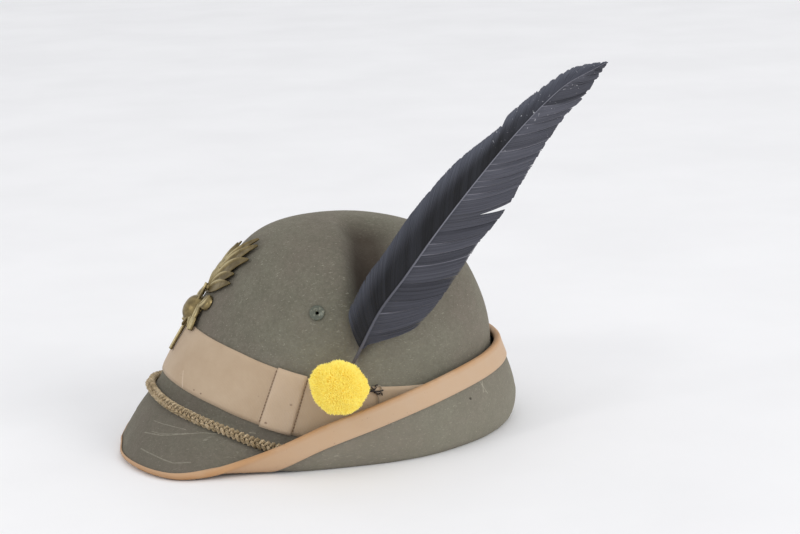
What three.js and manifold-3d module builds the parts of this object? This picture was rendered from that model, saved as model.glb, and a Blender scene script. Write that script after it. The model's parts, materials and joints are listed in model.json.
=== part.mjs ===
import * as THREE from 'three';
import { mergeVertices } from 'three/addons/utils/BufferGeometryUtils.js';
import Module from 'manifold-3d';

// A mountain troops' felt hat that lies on a surface, in millimetres.
// +Z is up, the peak points to -Y, and the wearer's left side, with the plume, faces +X.
// Directions are degrees round the head, 0 at the front, 90 at the wearer's left, 180 at the back.

const wasm = await Module();
wasm.setup();

// Driving dimensions
const gap = 0.3;
const feltThickness = 2.4;
const crownTop = 138.4;
const crownTopY = 9;
const bandHeight = 36.5;
const bandThickness = 0.9;
const bindingThickness = 1.1;
const bindingOuterLeg = 12.6;
const bindingPlay = 0.1;
const bindingEdgePlay = 0.5;
const cordPlay = 0.45;
const cordRadius = 3.1;

// Section of the crown at a share of its height over the bend into the brim:
// reach to the front and back of the hat's middle, and half the width
const crownRows = [
  { share: 0, front: 107, back: 107, side: 83.4 },
  { share: 0.08, front: 102.6, back: 108.2, side: 83.2 },
  { share: 0.25, front: 92.6, back: 110.3, side: 82 },
  { share: 0.43, front: 80.4, back: 109.3, side: 79.5 },
  { share: 0.61, front: 67.5, back: 103.4, side: 74 },
  { share: 0.77, front: 54.2, back: 92, side: 64.5 },
  { share: 0.9, front: 38.8, back: 71.5, side: 49 },
  { share: 0.97, front: 21, back: 43, side: 29 },
];

// Brim at a direction: height of the bend, then four stations across the strip out to its edge,
// each as the way out from the bend and the height; bandUp is the band's height over the bend
const brimColumns = [
  'direction', 'bandUp', 'root', 'out1', 'up1', 'out2', 'up2', 'out3', 'up3', 'edgeOut', 'edgeUp',
];
const brimRows = [
  [0, 8, 38, 7, 29.5, 14, 20.5, 20.5, 11.5, 25.8, 2.5],
  [15, 8, 36.5, 9, 28.5, 18, 19.8, 26.5, 11, 33.8, 2.5],
  [28, 8, 33, 10.5, 26, 21, 18, 31, 10, 39.2, 2.5],
  [36, 8, 30, 11.5, 23.5, 23, 15.8, 33, 9, 41.5, 2.5],
  [42, 7.8, 27.5, 11.5, 21, 22.5, 13.5, 32, 7.5, 40.3, 2.7],
  [48, 7.4, 24.5, 10, 18, 19, 11, 27, 5.8, 33.3, 3.8],
  [55, 7, 21, 8, 14.5, 15.5, 7.5, 21.3, 3.6, 25.5, 8],
  [62, 6.5, 17.5, 6.8, 10.5, 12.8, 3.6, 17.8, 3.8, 20.5, 13.5],
  [70, 5.8, 14, 5.5, 7.2, 11, 1.6, 16.4, 5.8, 16.7, 20.5],
  [80, 5, 9.5, 4.8, 4.4, 10, 1, 15, 9.5, 13.5, 29],
  [92, 5, 6.5, 4.2, 2.8, 9.8, 1, 14.8, 12.5, 11.8, 36.5],
  [110, 3.2, 4.5, 4.5, 1.3, 11.3, 1, 16.2, 14.5, 11.5, 45.5],
  [130, 2.2, 4, 5, 1.15, 12.5, 1, 17.3, 17, 11, 51],
  [155, 2, 4, 5.5, 1.15, 13.5, 1, 18.6, 18, 9.5, 53],
  [180, 2, 4, 5.5, 1.15, 14, 1, 18.2, 18, 8, 53],
].map((row) => Object.fromEntries(brimColumns.map((name, n) => [name, row[n]])));

// The braided cord's centre at a direction: way out from the bend and height
const cordRows = [
  { direction: 0, out: 7.3, up: 35.4 },
  { direction: 28, out: 7.5, up: 31.8 },
  { direction: 48, out: 7.2, up: 25 },
  { direction: 62, out: 6.8, up: 17 },
  { direction: 80, out: 6.8, up: 9.6 },
  { direction: 110, out: 8, up: 7 },
  { direction: 180, out: 9, up: 7 },
];

// The peak's right half is drawn in: its way out as a share of the left half's
const rightRows = [
  { direction: 0, share: 1 },
  { direction: 12, share: 0.76 },
  { direction: 28, share: 0.69 },
  { direction: 40, share: 0.74 },
  { direction: 62, share: 1 },
  { direction: 90, share: 1 },
  { direction: 180, share: 1 },
];

// Catmull-Rom reading of one column; rows are mirrored past both ends
function readColumn(rows, key, column, value) {
  const last = rows.length - 1;
  let k = 0;
  while (k < last - 1 && rows[k + 1][key] <= value) k += 1;
  const before = k > 0 ? rows[k - 1] : rows[1];
  const after = k + 2 <= last ? rows[k + 2] : rows[last - 1];
  const beforeKey = k > 0 ? before[key] : 2 * rows[0][key] - before[key];
  const afterKey = k + 2 <= last ? after[key] : 2 * rows[last][key] - after[key];
  const span = rows[k + 1][key] - rows[k][key];
  const share = (value - rows[k][key]) / span;
  const startSlope = (rows[k + 1][column] - before[column]) / (rows[k + 1][key] - beforeKey);
  const endSlope = (after[column] - rows[k][column]) / (afterKey - rows[k][key]);
  const a = 2 * share ** 3 - 3 * share ** 2 + 1;
  const b = share ** 3 - 2 * share ** 2 + share;
  const c = 3 * share ** 2 - 2 * share ** 3;
  const d = share ** 3 - share ** 2;
  return a * rows[k][column] + b * span * startSlope + c * rows[k + 1][column] + d * span * endSlope;
}

// Both sides of the brim are alike, so a direction past the back reads the mirrored one
function mirrored(direction) {
  const turned = ((direction % 360) + 360) % 360;
  return turned > 180 ? 360 - turned : turned;
}

function readBrim(direction, column) {
  return readColumn(brimRows, 'direction', column, mirrored(direction));
}

function readOut(direction, column) {
  const onRight = Math.sin(THREE.MathUtils.degToRad(direction)) < 0;
  const share = onRight ? readColumn(rightRows, 'direction', 'share', mirrored(direction)) : 1;
  return readBrim(direction, column) * share;
}

function sectionPoint(row, direction) {
  const angle = THREE.MathUtils.degToRad(direction);
  const root = readBrim(direction, 'root');
  const centre = (row.back - row.front) / 2;
  const half = (row.back + row.front) / 2;
  return new THREE.Vector3(
    row.side * Math.sin(angle),
    centre - half * Math.cos(angle),
    root + row.share * (crownTop - root),
  );
}

// Point outside the bend, by its way out and its height
function brimPoint(direction, out, up) {
  const angle = THREE.MathUtils.degToRad(direction);
  const base = crownRows[0];
  const half = (base.back + base.front) / 2;
  const outward = new THREE.Vector3(Math.sin(angle) / base.side, -Math.cos(angle) / half, 0).normalize();
  const foot = sectionPoint(base, direction);
  return new THREE.Vector3(foot.x + outward.x * out, foot.y + outward.y * out, up);
}

// The pinch in the crown's left side, in front of the plume, that fades over the top
const dentDepth = 9;
const dentHalfWidth = 11;
const dentFootY = 4;
const dentTopY = 28;
const dentFootUp = 54;
const dentFullUp = 84;

function dented(point) {
  if (point.x <= 0 || point.z < dentFootUp) return point;
  const climb = (point.z - dentFootUp) / (crownTop - dentFootUp);
  const middle = THREE.MathUtils.lerp(dentFootY, dentTopY, climb);
  const across = Math.exp(-(((point.y - middle) / dentHalfWidth) ** 2));
  const rise = THREE.MathUtils.smoothstep(point.z, dentFootUp, dentFullUp);
  const side = THREE.MathUtils.smoothstep(point.x, 4, 44);
  const inward = new THREE.Vector3(-point.x, 0, dentFootUp - point.z).normalize();
  return point.clone().addScaledVector(inward, dentDepth * across * rise * side);
}

// Middle of the felt along one direction, from the crown's top to the brim's edge
function meridian(direction) {
  const apex = new THREE.Vector3(0, crownTopY, crownTop);
  const upper = [...crownRows].reverse();
  const points = [sectionPoint(upper[0], direction + 180), apex];
  for (const row of upper) points.push(sectionPoint(row, direction));
  for (const name of ['1', '2', '3']) {
    points.push(brimPoint(direction, readOut(direction, `out${name}`), readBrim(direction, `up${name}`)));
  }
  points.push(brimPoint(direction, readOut(direction, 'edgeOut'), readBrim(direction, 'edgeUp')));
  const curve = new THREE.CatmullRomCurve3(points.map(dented), false, 'centripetal');
  const steps = points.length - 1;
  const fine = 24;
  const samples = [];
  for (let k = fine; k <= steps * fine; k += 1) samples.push(curve.getPoint(k / (steps * fine)));
  const lengths = [0];
  for (let k = 1; k < samples.length; k += 1) {
    lengths.push(lengths[k - 1] + samples[k].distanceTo(samples[k - 1]));
  }
  return {
    samples,
    lengths,
    bandUp: readBrim(direction, 'bandUp'),
    bendLength: lengths[crownRows.length * fine],
    firstLength: lengths[(crownRows.length + 1) * fine],
    secondLength: lengths[(crownRows.length + 2) * fine],
    length: lengths.at(-1),
  };
}

function alongMeridian(line, length) {
  let k = 0;
  while (k < line.lengths.length - 2 && line.lengths[k + 1] < length) k += 1;
  const share = (length - line.lengths[k]) / (line.lengths[k + 1] - line.lengths[k]);
  return line.samples[k].clone().lerp(line.samples[k + 1], share);
}

// Rings of the felt: the crown's top, rings down to the band, the band's rings, the bend,
// and rings across the brim out to its edge
const crownRingCount = 8;
const bandRingCount = 3;
const brimRingCount = 4;
const latestSole = 0.8;
const bandFoot = crownRingCount + bandRingCount;
const bendRing = bandFoot + 1;
const legRing = bendRing + brimRingCount;
const legStep = 4.2;
const edgeRing = legRing + bindingOuterLeg / legStep;

function ringLength(line, ring) {
  const bandLow = line.bendLength - line.bandUp;
  const bandTop = bandLow - bandHeight;
  const legStart = line.length - bindingOuterLeg;
  if (ring <= crownRingCount) return (bandTop * ring) / crownRingCount;
  if (ring <= bandFoot) return bandTop + (bandHeight / bandRingCount) * (ring - crownRingCount);
  if (ring <= bendRing) return line.bendLength;
  const sole = Math.min(line.secondLength, THREE.MathUtils.lerp(line.bendLength, legStart, latestSole));
  if (ring <= legRing) return [line.firstLength, sole, (sole + legStart) / 2, legStart][ring - bendRing - 1];
  return legStart + legStep * (ring - legRing);
}

// Lines of the net round the hat; they lie closer where the peak turns into the raised brim
const directionSteps = [
  { from: 0, to: 36, count: 5 },
  { from: 36, to: 76, count: 9 },
  { from: 76, to: 180, count: 13 },
];
const halfDirections = directionSteps.flatMap(({ from, to, count }) => (
  Array.from({ length: count }, (_, n) => THREE.MathUtils.lerp(from, to, n / count))
));
const rightDirections = halfDirections.slice(1).reverse().map((direction) => 360 - direction);
const directions = [...halfDirections, 180, ...rightDirections];
const directionCount = directions.length;

// Quads are cut alike on both halves, along the fold that runs from the peak into the raised brim
function onLeft(k) {
  return directions[k] < 180;
}

// Broken number of a direction in the net
function netNumber(direction) {
  const k = directions.findLastIndex((one) => one <= direction);
  const next = k + 1 < directionCount ? directions[k + 1] : 360;
  return k + (direction - directions[k]) / (next - directions[k]);
}

const middle = directions.map((direction) => {
  const line = meridian(direction);
  const rings = [];
  for (let ring = 0; ring <= edgeRing; ring += 1) rings.push(alongMeridian(line, ringLength(line, ring)));
  return rings;
});

function around(k) {
  return (k + directionCount) % directionCount;
}

// Unit vector out of the crown, and up or inward off the brim, at each node of the felt's net
const outwardAt = directions.map((_, k) => middle[k].map((point, ring) => {
  if (ring === 0) return new THREE.Vector3(0, 0, 1);
  const sideways = middle[around(k + 1)][ring].clone().sub(middle[around(k - 1)][ring]);
  const upper = middle[k][ring - 1];
  const lower = middle[k][Math.min(ring + 1, edgeRing)];
  return lower.clone().sub(upper).cross(sideways).normalize();
}));

// Point over the felt's net at a whole or broken direction number and ring number
function overFelt(k, ring, offset) {
  const k0 = Math.floor(k);
  const r0 = Math.min(Math.floor(ring), edgeRing - 1);
  const corner = (dk, dr) => middle[around(k0 + dk)][r0 + dr].clone()
    .addScaledVector(outwardAt[around(k0 + dk)][r0 + dr], offset);
  const near = corner(0, 0).lerp(corner(1, 0), k - k0);
  const far = corner(0, 1).lerp(corner(1, 1), k - k0);
  return near.lerp(far, ring - r0);
}

// Triangles of a net of points; each pair of neighbouring lines is joined by quads
function geometryOf(points, triangles) {
  const geometry = new THREE.BufferGeometry();
  const numbers = points.flatMap((p) => [p.x, p.y, p.z]);
  geometry.setAttribute('position', new THREE.Float32BufferAttribute(numbers, 3));
  geometry.setIndex(triangles.flat());
  geometry.computeVertexNormals();
  return geometry;
}

// Sections joined into one closed body: a ring when it meets itself, else with flat ends.
// A quad that turnedQuad names is cut along its other diagonal.
function loft(sections, closedRing = false, turnedQuad = () => false) {
  const size = sections[0].length;
  const points = sections.flat();
  const triangles = [];
  const pairs = closedRing ? sections.length : sections.length - 1;
  for (let s = 0; s < pairs; s += 1) {
    for (let k = 0; k < size; k += 1) {
      const a = s * size + k;
      const b = s * size + ((k + 1) % size);
      const c = ((s + 1) % sections.length) * size + k;
      const d = ((s + 1) % sections.length) * size + ((k + 1) % size);
      if (turnedQuad(s, k)) triangles.push([a, b, c], [b, d, c]);
      else triangles.push([a, b, d], [a, d, c]);
    }
  }
  if (!closedRing) {
    const start = points.length;
    for (const [section, first, turn] of [[sections[0], 0, 1], [sections.at(-1), start - size, -1]]) {
      const centre = section.reduce((sum, p) => sum.add(p), new THREE.Vector3()).divideScalar(size);
      const hub = points.push(centre) - 1;
      for (let k = 0; k < size; k += 1) {
        const a = first + k;
        const b = first + ((k + 1) % size);
        triangles.push(turn > 0 ? [hub, b, a] : [hub, a, b]);
      }
    }
  }
  return outwardFacing(geometryOf(points, triangles));
}

// Turns the triangles of a closed body round when they face in
function outwardFacing(geometry) {
  const position = geometry.attributes.position;
  const index = geometry.index;
  let volume = 0;
  const corner = [new THREE.Vector3(), new THREE.Vector3(), new THREE.Vector3()];
  for (let k = 0; k < index.count; k += 3) {
    corner.forEach((p, n) => p.fromBufferAttribute(position, index.getX(k + n)));
    volume += corner[0].dot(corner[1].clone().cross(corner[2]));
  }
  if (volume < 0) {
    for (let k = 0; k < index.count; k += 3) {
      const kept = index.getX(k + 1);
      index.setX(k + 1, index.getX(k + 2));
      index.setX(k + 2, kept);
    }
  }
  return geometry;
}

function solidOf(geometry) {
  const bare = geometry.clone();
  bare.deleteAttribute('normal');
  bare.deleteAttribute('uv');
  const merged = mergeVertices(bare, 1e-4);
  return new wasm.Manifold(new wasm.Mesh({
    numProp: 3,
    vertProperties: new Float32Array(merged.attributes.position.array),
    triVerts: new Uint32Array(merged.index.array),
  }));
}

function geometryOfSolid(solid) {
  const mesh = solid.getMesh();
  const geometry = new THREE.BufferGeometry();
  geometry.setAttribute('position', new THREE.Float32BufferAttribute(mesh.vertProperties, 3));
  geometry.setIndex(new THREE.Uint32BufferAttribute(mesh.triVerts, 1));
  geometry.computeVertexNormals();
  return geometry;
}

function fused(geometries) {
  return geometryOfSolid(geometries.map(solidOf).reduce((sum, next) => sum.add(next)));
}

const hat = new THREE.Group();

function addPiece(name, geometry, finish) {
  const mesh = new THREE.Mesh(geometry, new THREE.MeshStandardMaterial(finish));
  mesh.name = name;
  hat.add(mesh);
  return mesh;
}

const feltFinish = { color: 0x57564a, roughness: 0.95, metalness: 0 };
const leatherFinish = { color: 0xb08d6a, roughness: 0.6, metalness: 0 };
const ribbonFinish = { color: 0x9c8266, roughness: 0.8, metalness: 0 };
const cordFinish = { color: 0x8a7350, roughness: 0.85, metalness: 0 };
const woolFinish = { color: 0xf0c23a, roughness: 1, metalness: 0 };
const plumeFinish = { color: 0x22252d, roughness: 0.7, metalness: 0 };
const brassFinish = { color: 0x8d7a3c, roughness: 0.38, metalness: 1 };
const eyeletFinish = { color: 0x6a7468, roughness: 0.45, metalness: 0.4 };

// Outer and inner face of the felt meet at the brim's edge; the underside is flat where it rests
const leatherUnder = bindingThickness + gap + bindingPlay;
const soleSnap = 0.45;

function feltPoint(k, ring, side) {
  const point = overFelt(k, ring, (side * feltThickness) / 2);
  if (ring >= legRing) point.z = Math.max(point.z, leatherUnder);
  else if (ring > bendRing && point.z < soleSnap) point.z = 0;
  return point;
}

function feltGeometry() {
  const points = [];
  const triangles = [];
  const at = [1, -1].map((side) => {
    const top = points.push(feltPoint(0, 0, side)) - 1;
    const net = directions.map((_, k) => {
      const line = [top];
      for (let ring = 1; ring <= edgeRing; ring += 1) line.push(points.push(feltPoint(k, ring, side)) - 1);
      return line;
    });
    return net;
  });
  directions.forEach((_, k) => {
    const next = around(k + 1);
    for (const [net, turn] of [[at[0], 1], [at[1], -1]]) {
      for (let ring = 0; ring < edgeRing; ring += 1) {
        const [a, b, c, d] = [net[k][ring], net[k][ring + 1], net[next][ring + 1], net[next][ring]];
        const cut = onLeft(k) ? [[b, c, d], [a, b, d]] : [[a, b, c], [a, c, d]];
        const kept = ring > 0 ? cut : cut.slice(0, 1);
        triangles.push(...kept.map((triangle) => (turn < 0 ? triangle.reverse() : triangle)));
      }
    }
    const [a, b] = [at[0][k][edgeRing], at[0][next][edgeRing]];
    const [c, d] = [at[1][k][edgeRing], at[1][next][edgeRing]];
    triangles.push([a, c, d], [a, d, b]);
  });
  return outwardFacing(geometryOf(points, triangles));
}

// Grosgrain band round the crown
const bandInner = feltThickness / 2 + gap + 0.1;
const bandOuter = bandInner + bandThickness;

function bandGeometry() {
  const upward = [bandFoot, bandFoot - 1, bandFoot - 2, crownRingCount];
  const sections = directions.map((_, k) => {
    const face = upward.map((ring) => overFelt(k, ring, bandInner));
    const outside = upward.map((ring) => overFelt(k, ring, bandOuter)).reverse();
    return [...face, ...outside];
  });
  const faceQuads = [0, 1, 2];
  const outsideQuads = [4, 5, 6];
  return loft(sections, true, (k, quad) => (onLeft(k) ? outsideQuads : faceQuads).includes(quad));
}

// Flat knot of the band at the wearer's left
const knotStart = 58;
const knotEnd = 69;
const knotThickness = 1.3;
const knotSteps = 3;

function knotGeometry() {
  const inner = bandOuter + gap + 0.15;
  const rings = [bandFoot + 0.06, bandFoot - 1, bandFoot - 2, crownRingCount - 0.06];
  const sections = [];
  for (let n = 0; n <= knotSteps; n += 1) {
    const k = netNumber(THREE.MathUtils.lerp(knotStart, knotEnd, n / knotSteps));
    const face = rings.map((ring) => overFelt(k, ring, inner));
    const outside = rings.map((ring) => overFelt(k, ring, inner + knotThickness)).reverse();
    sections.push([...face, ...outside]);
  }
  return loft(sections);
}

// Leather binding folded over the brim's edge
const sharpestTurn = 0.6;
const rings = Array.from({ length: edgeRing + 1 }, (_, ring) => ring);
const feltFaces = {
  upper: directions.map((_, k) => rings.map((ring) => feltPoint(k, ring, 1))),
  under: directions.map((_, k) => rings.map((ring) => feltPoint(k, ring, -1))),
};

// Point at an offset from a face of the felt, and a way past it across the brim; the offset
// grows where the facets that meet there turn, so that each facet stays clear
function offFace(name, k, ring, offset, way = 0) {
  const face = feltFaces[name];
  const here = face[k][ring];
  const [left, right] = [face[around(k - 1)][ring], face[around(k + 1)][ring]];
  const beside = [face[k][ring - 1], right, face[k][ring + 1], left];
  const edges = beside.map((p) => p && p.clone().sub(here));
  const facets = [];
  edges.forEach((edge, n) => {
    const next = edges[(n + 1) % edges.length];
    if (edge && next) facets.push(next.clone().cross(edge).normalize());
  });
  const mean = facets.reduce((sum, facet) => sum.add(facet), new THREE.Vector3()).normalize();
  const tightest = Math.max(sharpestTurn, Math.min(...facets.map((facet) => facet.dot(mean))));
  const reach = (name === 'upper' ? offset : -offset) / tightest;
  return here.clone().addScaledVector(mean, reach).addScaledVector(edges[0].normalize(), -way);
}

function bindingGeometry() {
  const near = gap + bindingPlay;
  const far = near + bindingThickness;
  const edgeNear = gap + bindingEdgePlay;
  const edgeFar = edgeNear + bindingThickness;
  const sections = directions.map((_, k) => {
    const outside = [
      offFace('under', k, legRing, far), offFace('under', k, legRing + 1, far),
      offFace('under', k, legRing + 2, far), offFace('under', k, edgeRing, far),
      offFace('under', k, edgeRing, near / 2, edgeFar), offFace('upper', k, edgeRing, near / 2, edgeFar),
      offFace('upper', k, edgeRing, edgeFar), offFace('upper', k, edgeRing - 1, edgeFar),
    ];
    const inside = [
      offFace('upper', k, edgeRing - 1, edgeNear), offFace('upper', k, edgeRing, edgeNear, edgeNear),
      offFace('under', k, edgeRing, near, edgeNear), offFace('under', k, legRing + 2, near),
      offFace('under', k, legRing + 1, near), offFace('under', k, legRing, near),
    ];
    outside.forEach((p) => { p.z = Math.max(p.z, 0); });
    inside.forEach((p) => { p.z = Math.max(p.z, bindingThickness); });
    return [...outside, ...inside];
  });
  const outwardQuads = [0, 1, 2, 8];
  const inwardQuads = [6, 10, 11, 12];
  return loft(sections, true, (k, quad) => (onLeft(k) ? outwardQuads : inwardQuads).includes(quad));
}

// Braided cord in the bend, a whole ring that lies on the felt
const cordSides = 6;
const cordSeat = cordRadius + feltThickness / 2 + gap + cordPlay;

function clearOfFelt(point, line) {
  for (let n = 0; n < 12; n += 1) {
    const nearer = (best, sample) => (sample.distanceTo(point) < best.distanceTo(point) ? sample : best);
    const away = point.clone().sub(line.samples.reduce(nearer));
    const short = cordSeat - away.length();
    if (short > 0) point.add(away.setLength(short));
  }
  return point;
}

function cordGeometry() {
  const centre = directions.map((direction) => {
    const read = (column) => readColumn(cordRows, 'direction', column, mirrored(direction));
    return clearOfFelt(brimPoint(direction, read('out'), read('up')), meridian(direction));
  });
  const sections = centre.map((point, k) => {
    const ahead = centre[around(k + 1)].clone().sub(centre[around(k - 1)]).normalize();
    const sideways = ahead.clone().cross(new THREE.Vector3(0, 0, 1)).normalize();
    const upward = sideways.clone().cross(ahead);
    return Array.from({ length: cordSides }, (_, n) => {
      const turn = (n * 2 * Math.PI) / cordSides;
      return point.clone()
        .addScaledVector(sideways, cordRadius * Math.cos(turn))
        .addScaledVector(upward, cordRadius * Math.sin(turn));
    });
  });
  return loft(sections, true);
}

// Place on the crown's or band's left face at a depth and height, found by steps along the net
function leftFace(y, z, offset) {
  let k = netNumber(90);
  let ring = crownRingCount - 1;
  for (let n = 0; n < 60; n += 1) {
    const p = overFelt(k, ring, offset);
    k += (y - p.y) / 14;
    ring -= (z - p.z) / 20;
  }
  const point = overFelt(k, ring, offset);
  const outward = overFelt(k, ring, offset + 1).sub(point).normalize();
  return { point, outward };
}

// Vent eyelets through both sides of the crown
const eyeletY = -14.9;
const eyeletUp = 92.2;
const eyeletHole = 0.95;
const eyeletBarrel = 1.8;
const eyeletSides = 12;
const wallHalf = feltThickness / 2 + 0.45;
const eyeletProfile = [
  [eyeletHole, -wallHalf - 0.7], [3.3, -wallHalf - 0.5], [3.4, -wallHalf], [eyeletBarrel, -wallHalf],
  [eyeletBarrel, wallHalf], [4.5, wallHalf], [4.8, wallHalf + 0.35], [4.3, wallHalf + 0.9],
  [2.7, wallHalf + 0.5], [eyeletHole, wallHalf + 0.2],
];

function eyeletPlacement(side) {
  const { point, outward } = leftFace(eyeletY, eyeletUp, 0);
  point.x *= side;
  outward.x *= side;
  const turn = new THREE.Quaternion().setFromUnitVectors(new THREE.Vector3(0, 1, 0), outward);
  return new THREE.Matrix4().compose(point, turn, new THREE.Vector3(1, 1, 1));
}

function eyeletGeometry() {
  const loop = [...eyeletProfile, eyeletProfile[0]].map(([r, h]) => new THREE.Vector2(r, h));
  return outwardFacing(mergedBare(new THREE.LatheGeometry(loop, eyeletSides)));
}

function mergedBare(geometry) {
  const bare = geometry.clone();
  bare.deleteAttribute('normal');
  bare.deleteAttribute('uv');
  const merged = mergeVertices(bare, 1e-4);
  merged.computeVertexNormals();
  return merged;
}

function feltWithHoles() {
  let felt = solidOf(feltGeometry());
  for (const side of [1, -1]) {
    const drill = new THREE.CylinderGeometry(eyeletBarrel + gap, eyeletBarrel + gap, 12, eyeletSides);
    felt = felt.subtract(solidOf(drill.applyMatrix4(eyeletPlacement(side))));
  }
  return geometryOfSolid(felt);
}

// Plume: a quill that stands between the band and the pompom, with vanes in strips
const quillFoot = 47;
const quillStand = 87.6;
const quillLean = 0.035;
const quillLow = 1.6;
const quillTip = 0.35;
const quillSides = 8;
const quillSteps = 13;
const vaneThickness = 0.9;
const vaneStagger = 0.14;
const stripCount = 12;
const stripLead = 0.045;
const splitStrip = 6;
const quillLine = new THREE.SplineCurve([
  new THREE.Vector2(-8, quillFoot), new THREE.Vector2(14, 87), new THREE.Vector2(51, 139),
  new THREE.Vector2(93, 188), new THREE.Vector2(139, 227), new THREE.Vector2(164.3, 238.3),
]);

// Widths of the vanes on the left and right of the quill, seen from the wearer's left
const vaneRows = [
  { share: 0.12, left: 4, right: 3 },
  { share: 0.16, left: 13, right: 13 },
  { share: 0.22, left: 16, right: 26 },
  { share: 0.35, left: 17, right: 29 },
  { share: 0.55, left: 13.5, right: 30.5 },
  { share: 0.7, left: 8.8, right: 24.5 },
  { share: 0.83, left: 7.3, right: 16.5 },
  { share: 0.93, left: 5, right: 11.5 },
  { share: 0.985, left: 1.2, right: 2.5 },
];

function leaned(geometry) {
  const position = geometry.attributes.position;
  for (let k = 0; k < position.count; k += 1) {
    position.setX(k, position.getX(k) + quillStand + quillLean * (position.getZ(k) - quillFoot));
  }
  return geometry;
}

// Flat slab in the plume's plane, from points whose x is the way back and y the height
function plumeSlab(outline, out) {
  const depth = vaneThickness;
  const slab = new THREE.ExtrudeGeometry(new THREE.Shape(outline), { depth, bevelEnabled: false });
  slab.translate(0, 0, out - vaneThickness / 2);
  const axes = [new THREE.Vector3(0, 1, 0), new THREE.Vector3(0, 0, 1), new THREE.Vector3(1, 0, 0)];
  return leaned(slab.applyMatrix4(new THREE.Matrix4().makeBasis(...axes)));
}

function vanePoint(share, column) {
  const held = THREE.MathUtils.clamp(share, vaneRows[0].share, vaneRows.at(-1).share);
  const at = quillLine.getPointAt(held);
  const along = quillLine.getTangentAt(held);
  const width = readColumn(vaneRows, 'share', column, held);
  const turn = column === 'left' ? 1 : -1;
  return new THREE.Vector2(at.x - turn * along.y * width, at.y + turn * along.x * width);
}

function vaneStrips(column) {
  const first = vaneRows[0].share;
  const step = (vaneRows.at(-1).share - first) / stripCount;
  const strips = [];
  for (let n = 0; n < stripCount; n += 1) {
    const from = first + n * step;
    const to = from + step * 1.08;
    const split = column === 'right' && n === splitStrip ? 0.3 : 0;
    strips.push(plumeSlab([
      quillLine.getPointAt(from),
      quillLine.getPointAt(Math.min(to, vaneRows.at(-1).share)),
      vanePoint(to + stripLead, column),
      vanePoint(from + stripLead + split * step, column),
    ], n % 2 ? vaneStagger : -vaneStagger));
  }
  return strips;
}

function plumeGeometry() {
  const sections = [];
  for (let n = 0; n <= quillSteps; n += 1) {
    const share = n / quillSteps;
    const at = quillLine.getPointAt(share);
    const along = quillLine.getTangentAt(share);
    const radius = THREE.MathUtils.lerp(quillLow, quillTip, share);
    sections.push(Array.from({ length: quillSides }, (_, side) => {
      const turn = (side * 2 * Math.PI) / quillSides;
      const across = radius * Math.sin(turn);
      return new THREE.Vector3(radius * Math.cos(turn), at.x - along.y * across, at.y + along.x * across);
    }));
  }
  return fused([leaned(loft(sections)), ...vaneStrips('left'), ...vaneStrips('right')]);
}

// Wool pompom on a round backing, held by a short post that stands on the band
const pompomY = -10.3;
const pompomUp = 54.4;
const pompomOut = 104;
const pompomRadius = 17.2;
const pompomCore = 13;
const tuftCount = 32;
const tuftWide = 4.9;
const tuftNarrow = 2.4;
const tuftLength = 7;
const backingRadius = 9;
const backingStart = 90.1;
const postRadius = 2.2;
const postY = -17;
const postUp = 47;

function pompomGeometry() {
  const parts = [new THREE.SphereGeometry(pompomCore, 10, 6)];
  const turn = Math.PI * (3 - Math.sqrt(5));
  for (let n = 0; n < tuftCount; n += 1) {
    const x = 1 - (2 * n + 1) / tuftCount;
    const r = Math.sqrt(1 - x * x);
    const way = new THREE.Vector3(x, r * Math.cos(n * turn), r * Math.sin(n * turn));
    if (x > -0.62) {
      const tuft = new THREE.CylinderGeometry(tuftWide, tuftNarrow, tuftLength, 5);
      tuft.translate(0, pompomRadius - tuftLength / 2, 0);
      const face = new THREE.Quaternion().setFromUnitVectors(new THREE.Vector3(0, 1, 0), way);
      parts.push(tuft.applyQuaternion(face));
    }
  }
  for (const part of parts) part.translate(pompomOut, pompomY, pompomUp);
  const band = leftFace(postY, postUp, bandOuter).point.x + gap + 0.5;
  parts.push(rodAlongX(backingRadius, 12, backingStart, pompomOut - 8, pompomY, pompomUp));
  parts.push(rodAlongX(postRadius, 8, band, backingStart + 1, postY, postUp));
  return fused(parts);
}

function rodAlongX(radius, sides, from, to, y, z) {
  const rod = new THREE.CylinderGeometry(radius, radius, to - from, sides);
  rod.rotateZ(Math.PI / 2);
  return rod.translate((from + to) / 2, y, z);
}

// Bent wire that comes out behind the pompom and ends in a small loop on the band
const wireRadius = 0.5;
const wireStart = -3;
const wireEnd = 16;
const wireUp = 46.5;
const wireDrop = 2;
const wireLoop = 1.9;
const wireSides = 6;

function wireGeometry() {
  const path = [];
  for (let n = 0; n <= 4; n += 1) {
    const y = THREE.MathUtils.lerp(wireStart, wireEnd, n / 4);
    path.push([y, wireUp - (wireDrop * n) / 4]);
  }
  const centre = [wireEnd + 0.3, wireUp - wireDrop - wireLoop];
  for (let n = 1; n <= 8; n += 1) {
    const turn = Math.PI / 2 - (n * 300 * Math.PI) / 180 / 8;
    path.push([centre[0] + wireLoop * Math.cos(turn), centre[1] + wireLoop * Math.sin(turn)]);
  }
  const offset = bandOuter + gap + wireRadius + 0.1;
  const line = path.map(([y, z]) => leftFace(y, z, offset));
  const sections = line.map(({ point, outward }, n) => {
    const ahead = line[Math.min(n + 1, line.length - 1)].point.clone();
    ahead.sub(line[Math.max(n - 1, 0)].point).normalize();
    const sideways = ahead.clone().cross(outward).normalize();
    return Array.from({ length: wireSides }, (_, side) => {
      const turn = (side * 2 * Math.PI) / wireSides;
      return point.clone()
        .addScaledVector(outward, wireRadius * Math.cos(turn))
        .addScaledVector(sideways, wireRadius * Math.sin(turn));
    });
  });
  return loft(sections);
}

// Brass torch badge, one casting that follows the front of the crown.
// Places on it are the way across, the way up from the band's foot and the height off the felt.
const badgeSeat = 0.6;
const badgeBend = 74;
const rodSeat = bandThickness + gap * 2;

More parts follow.
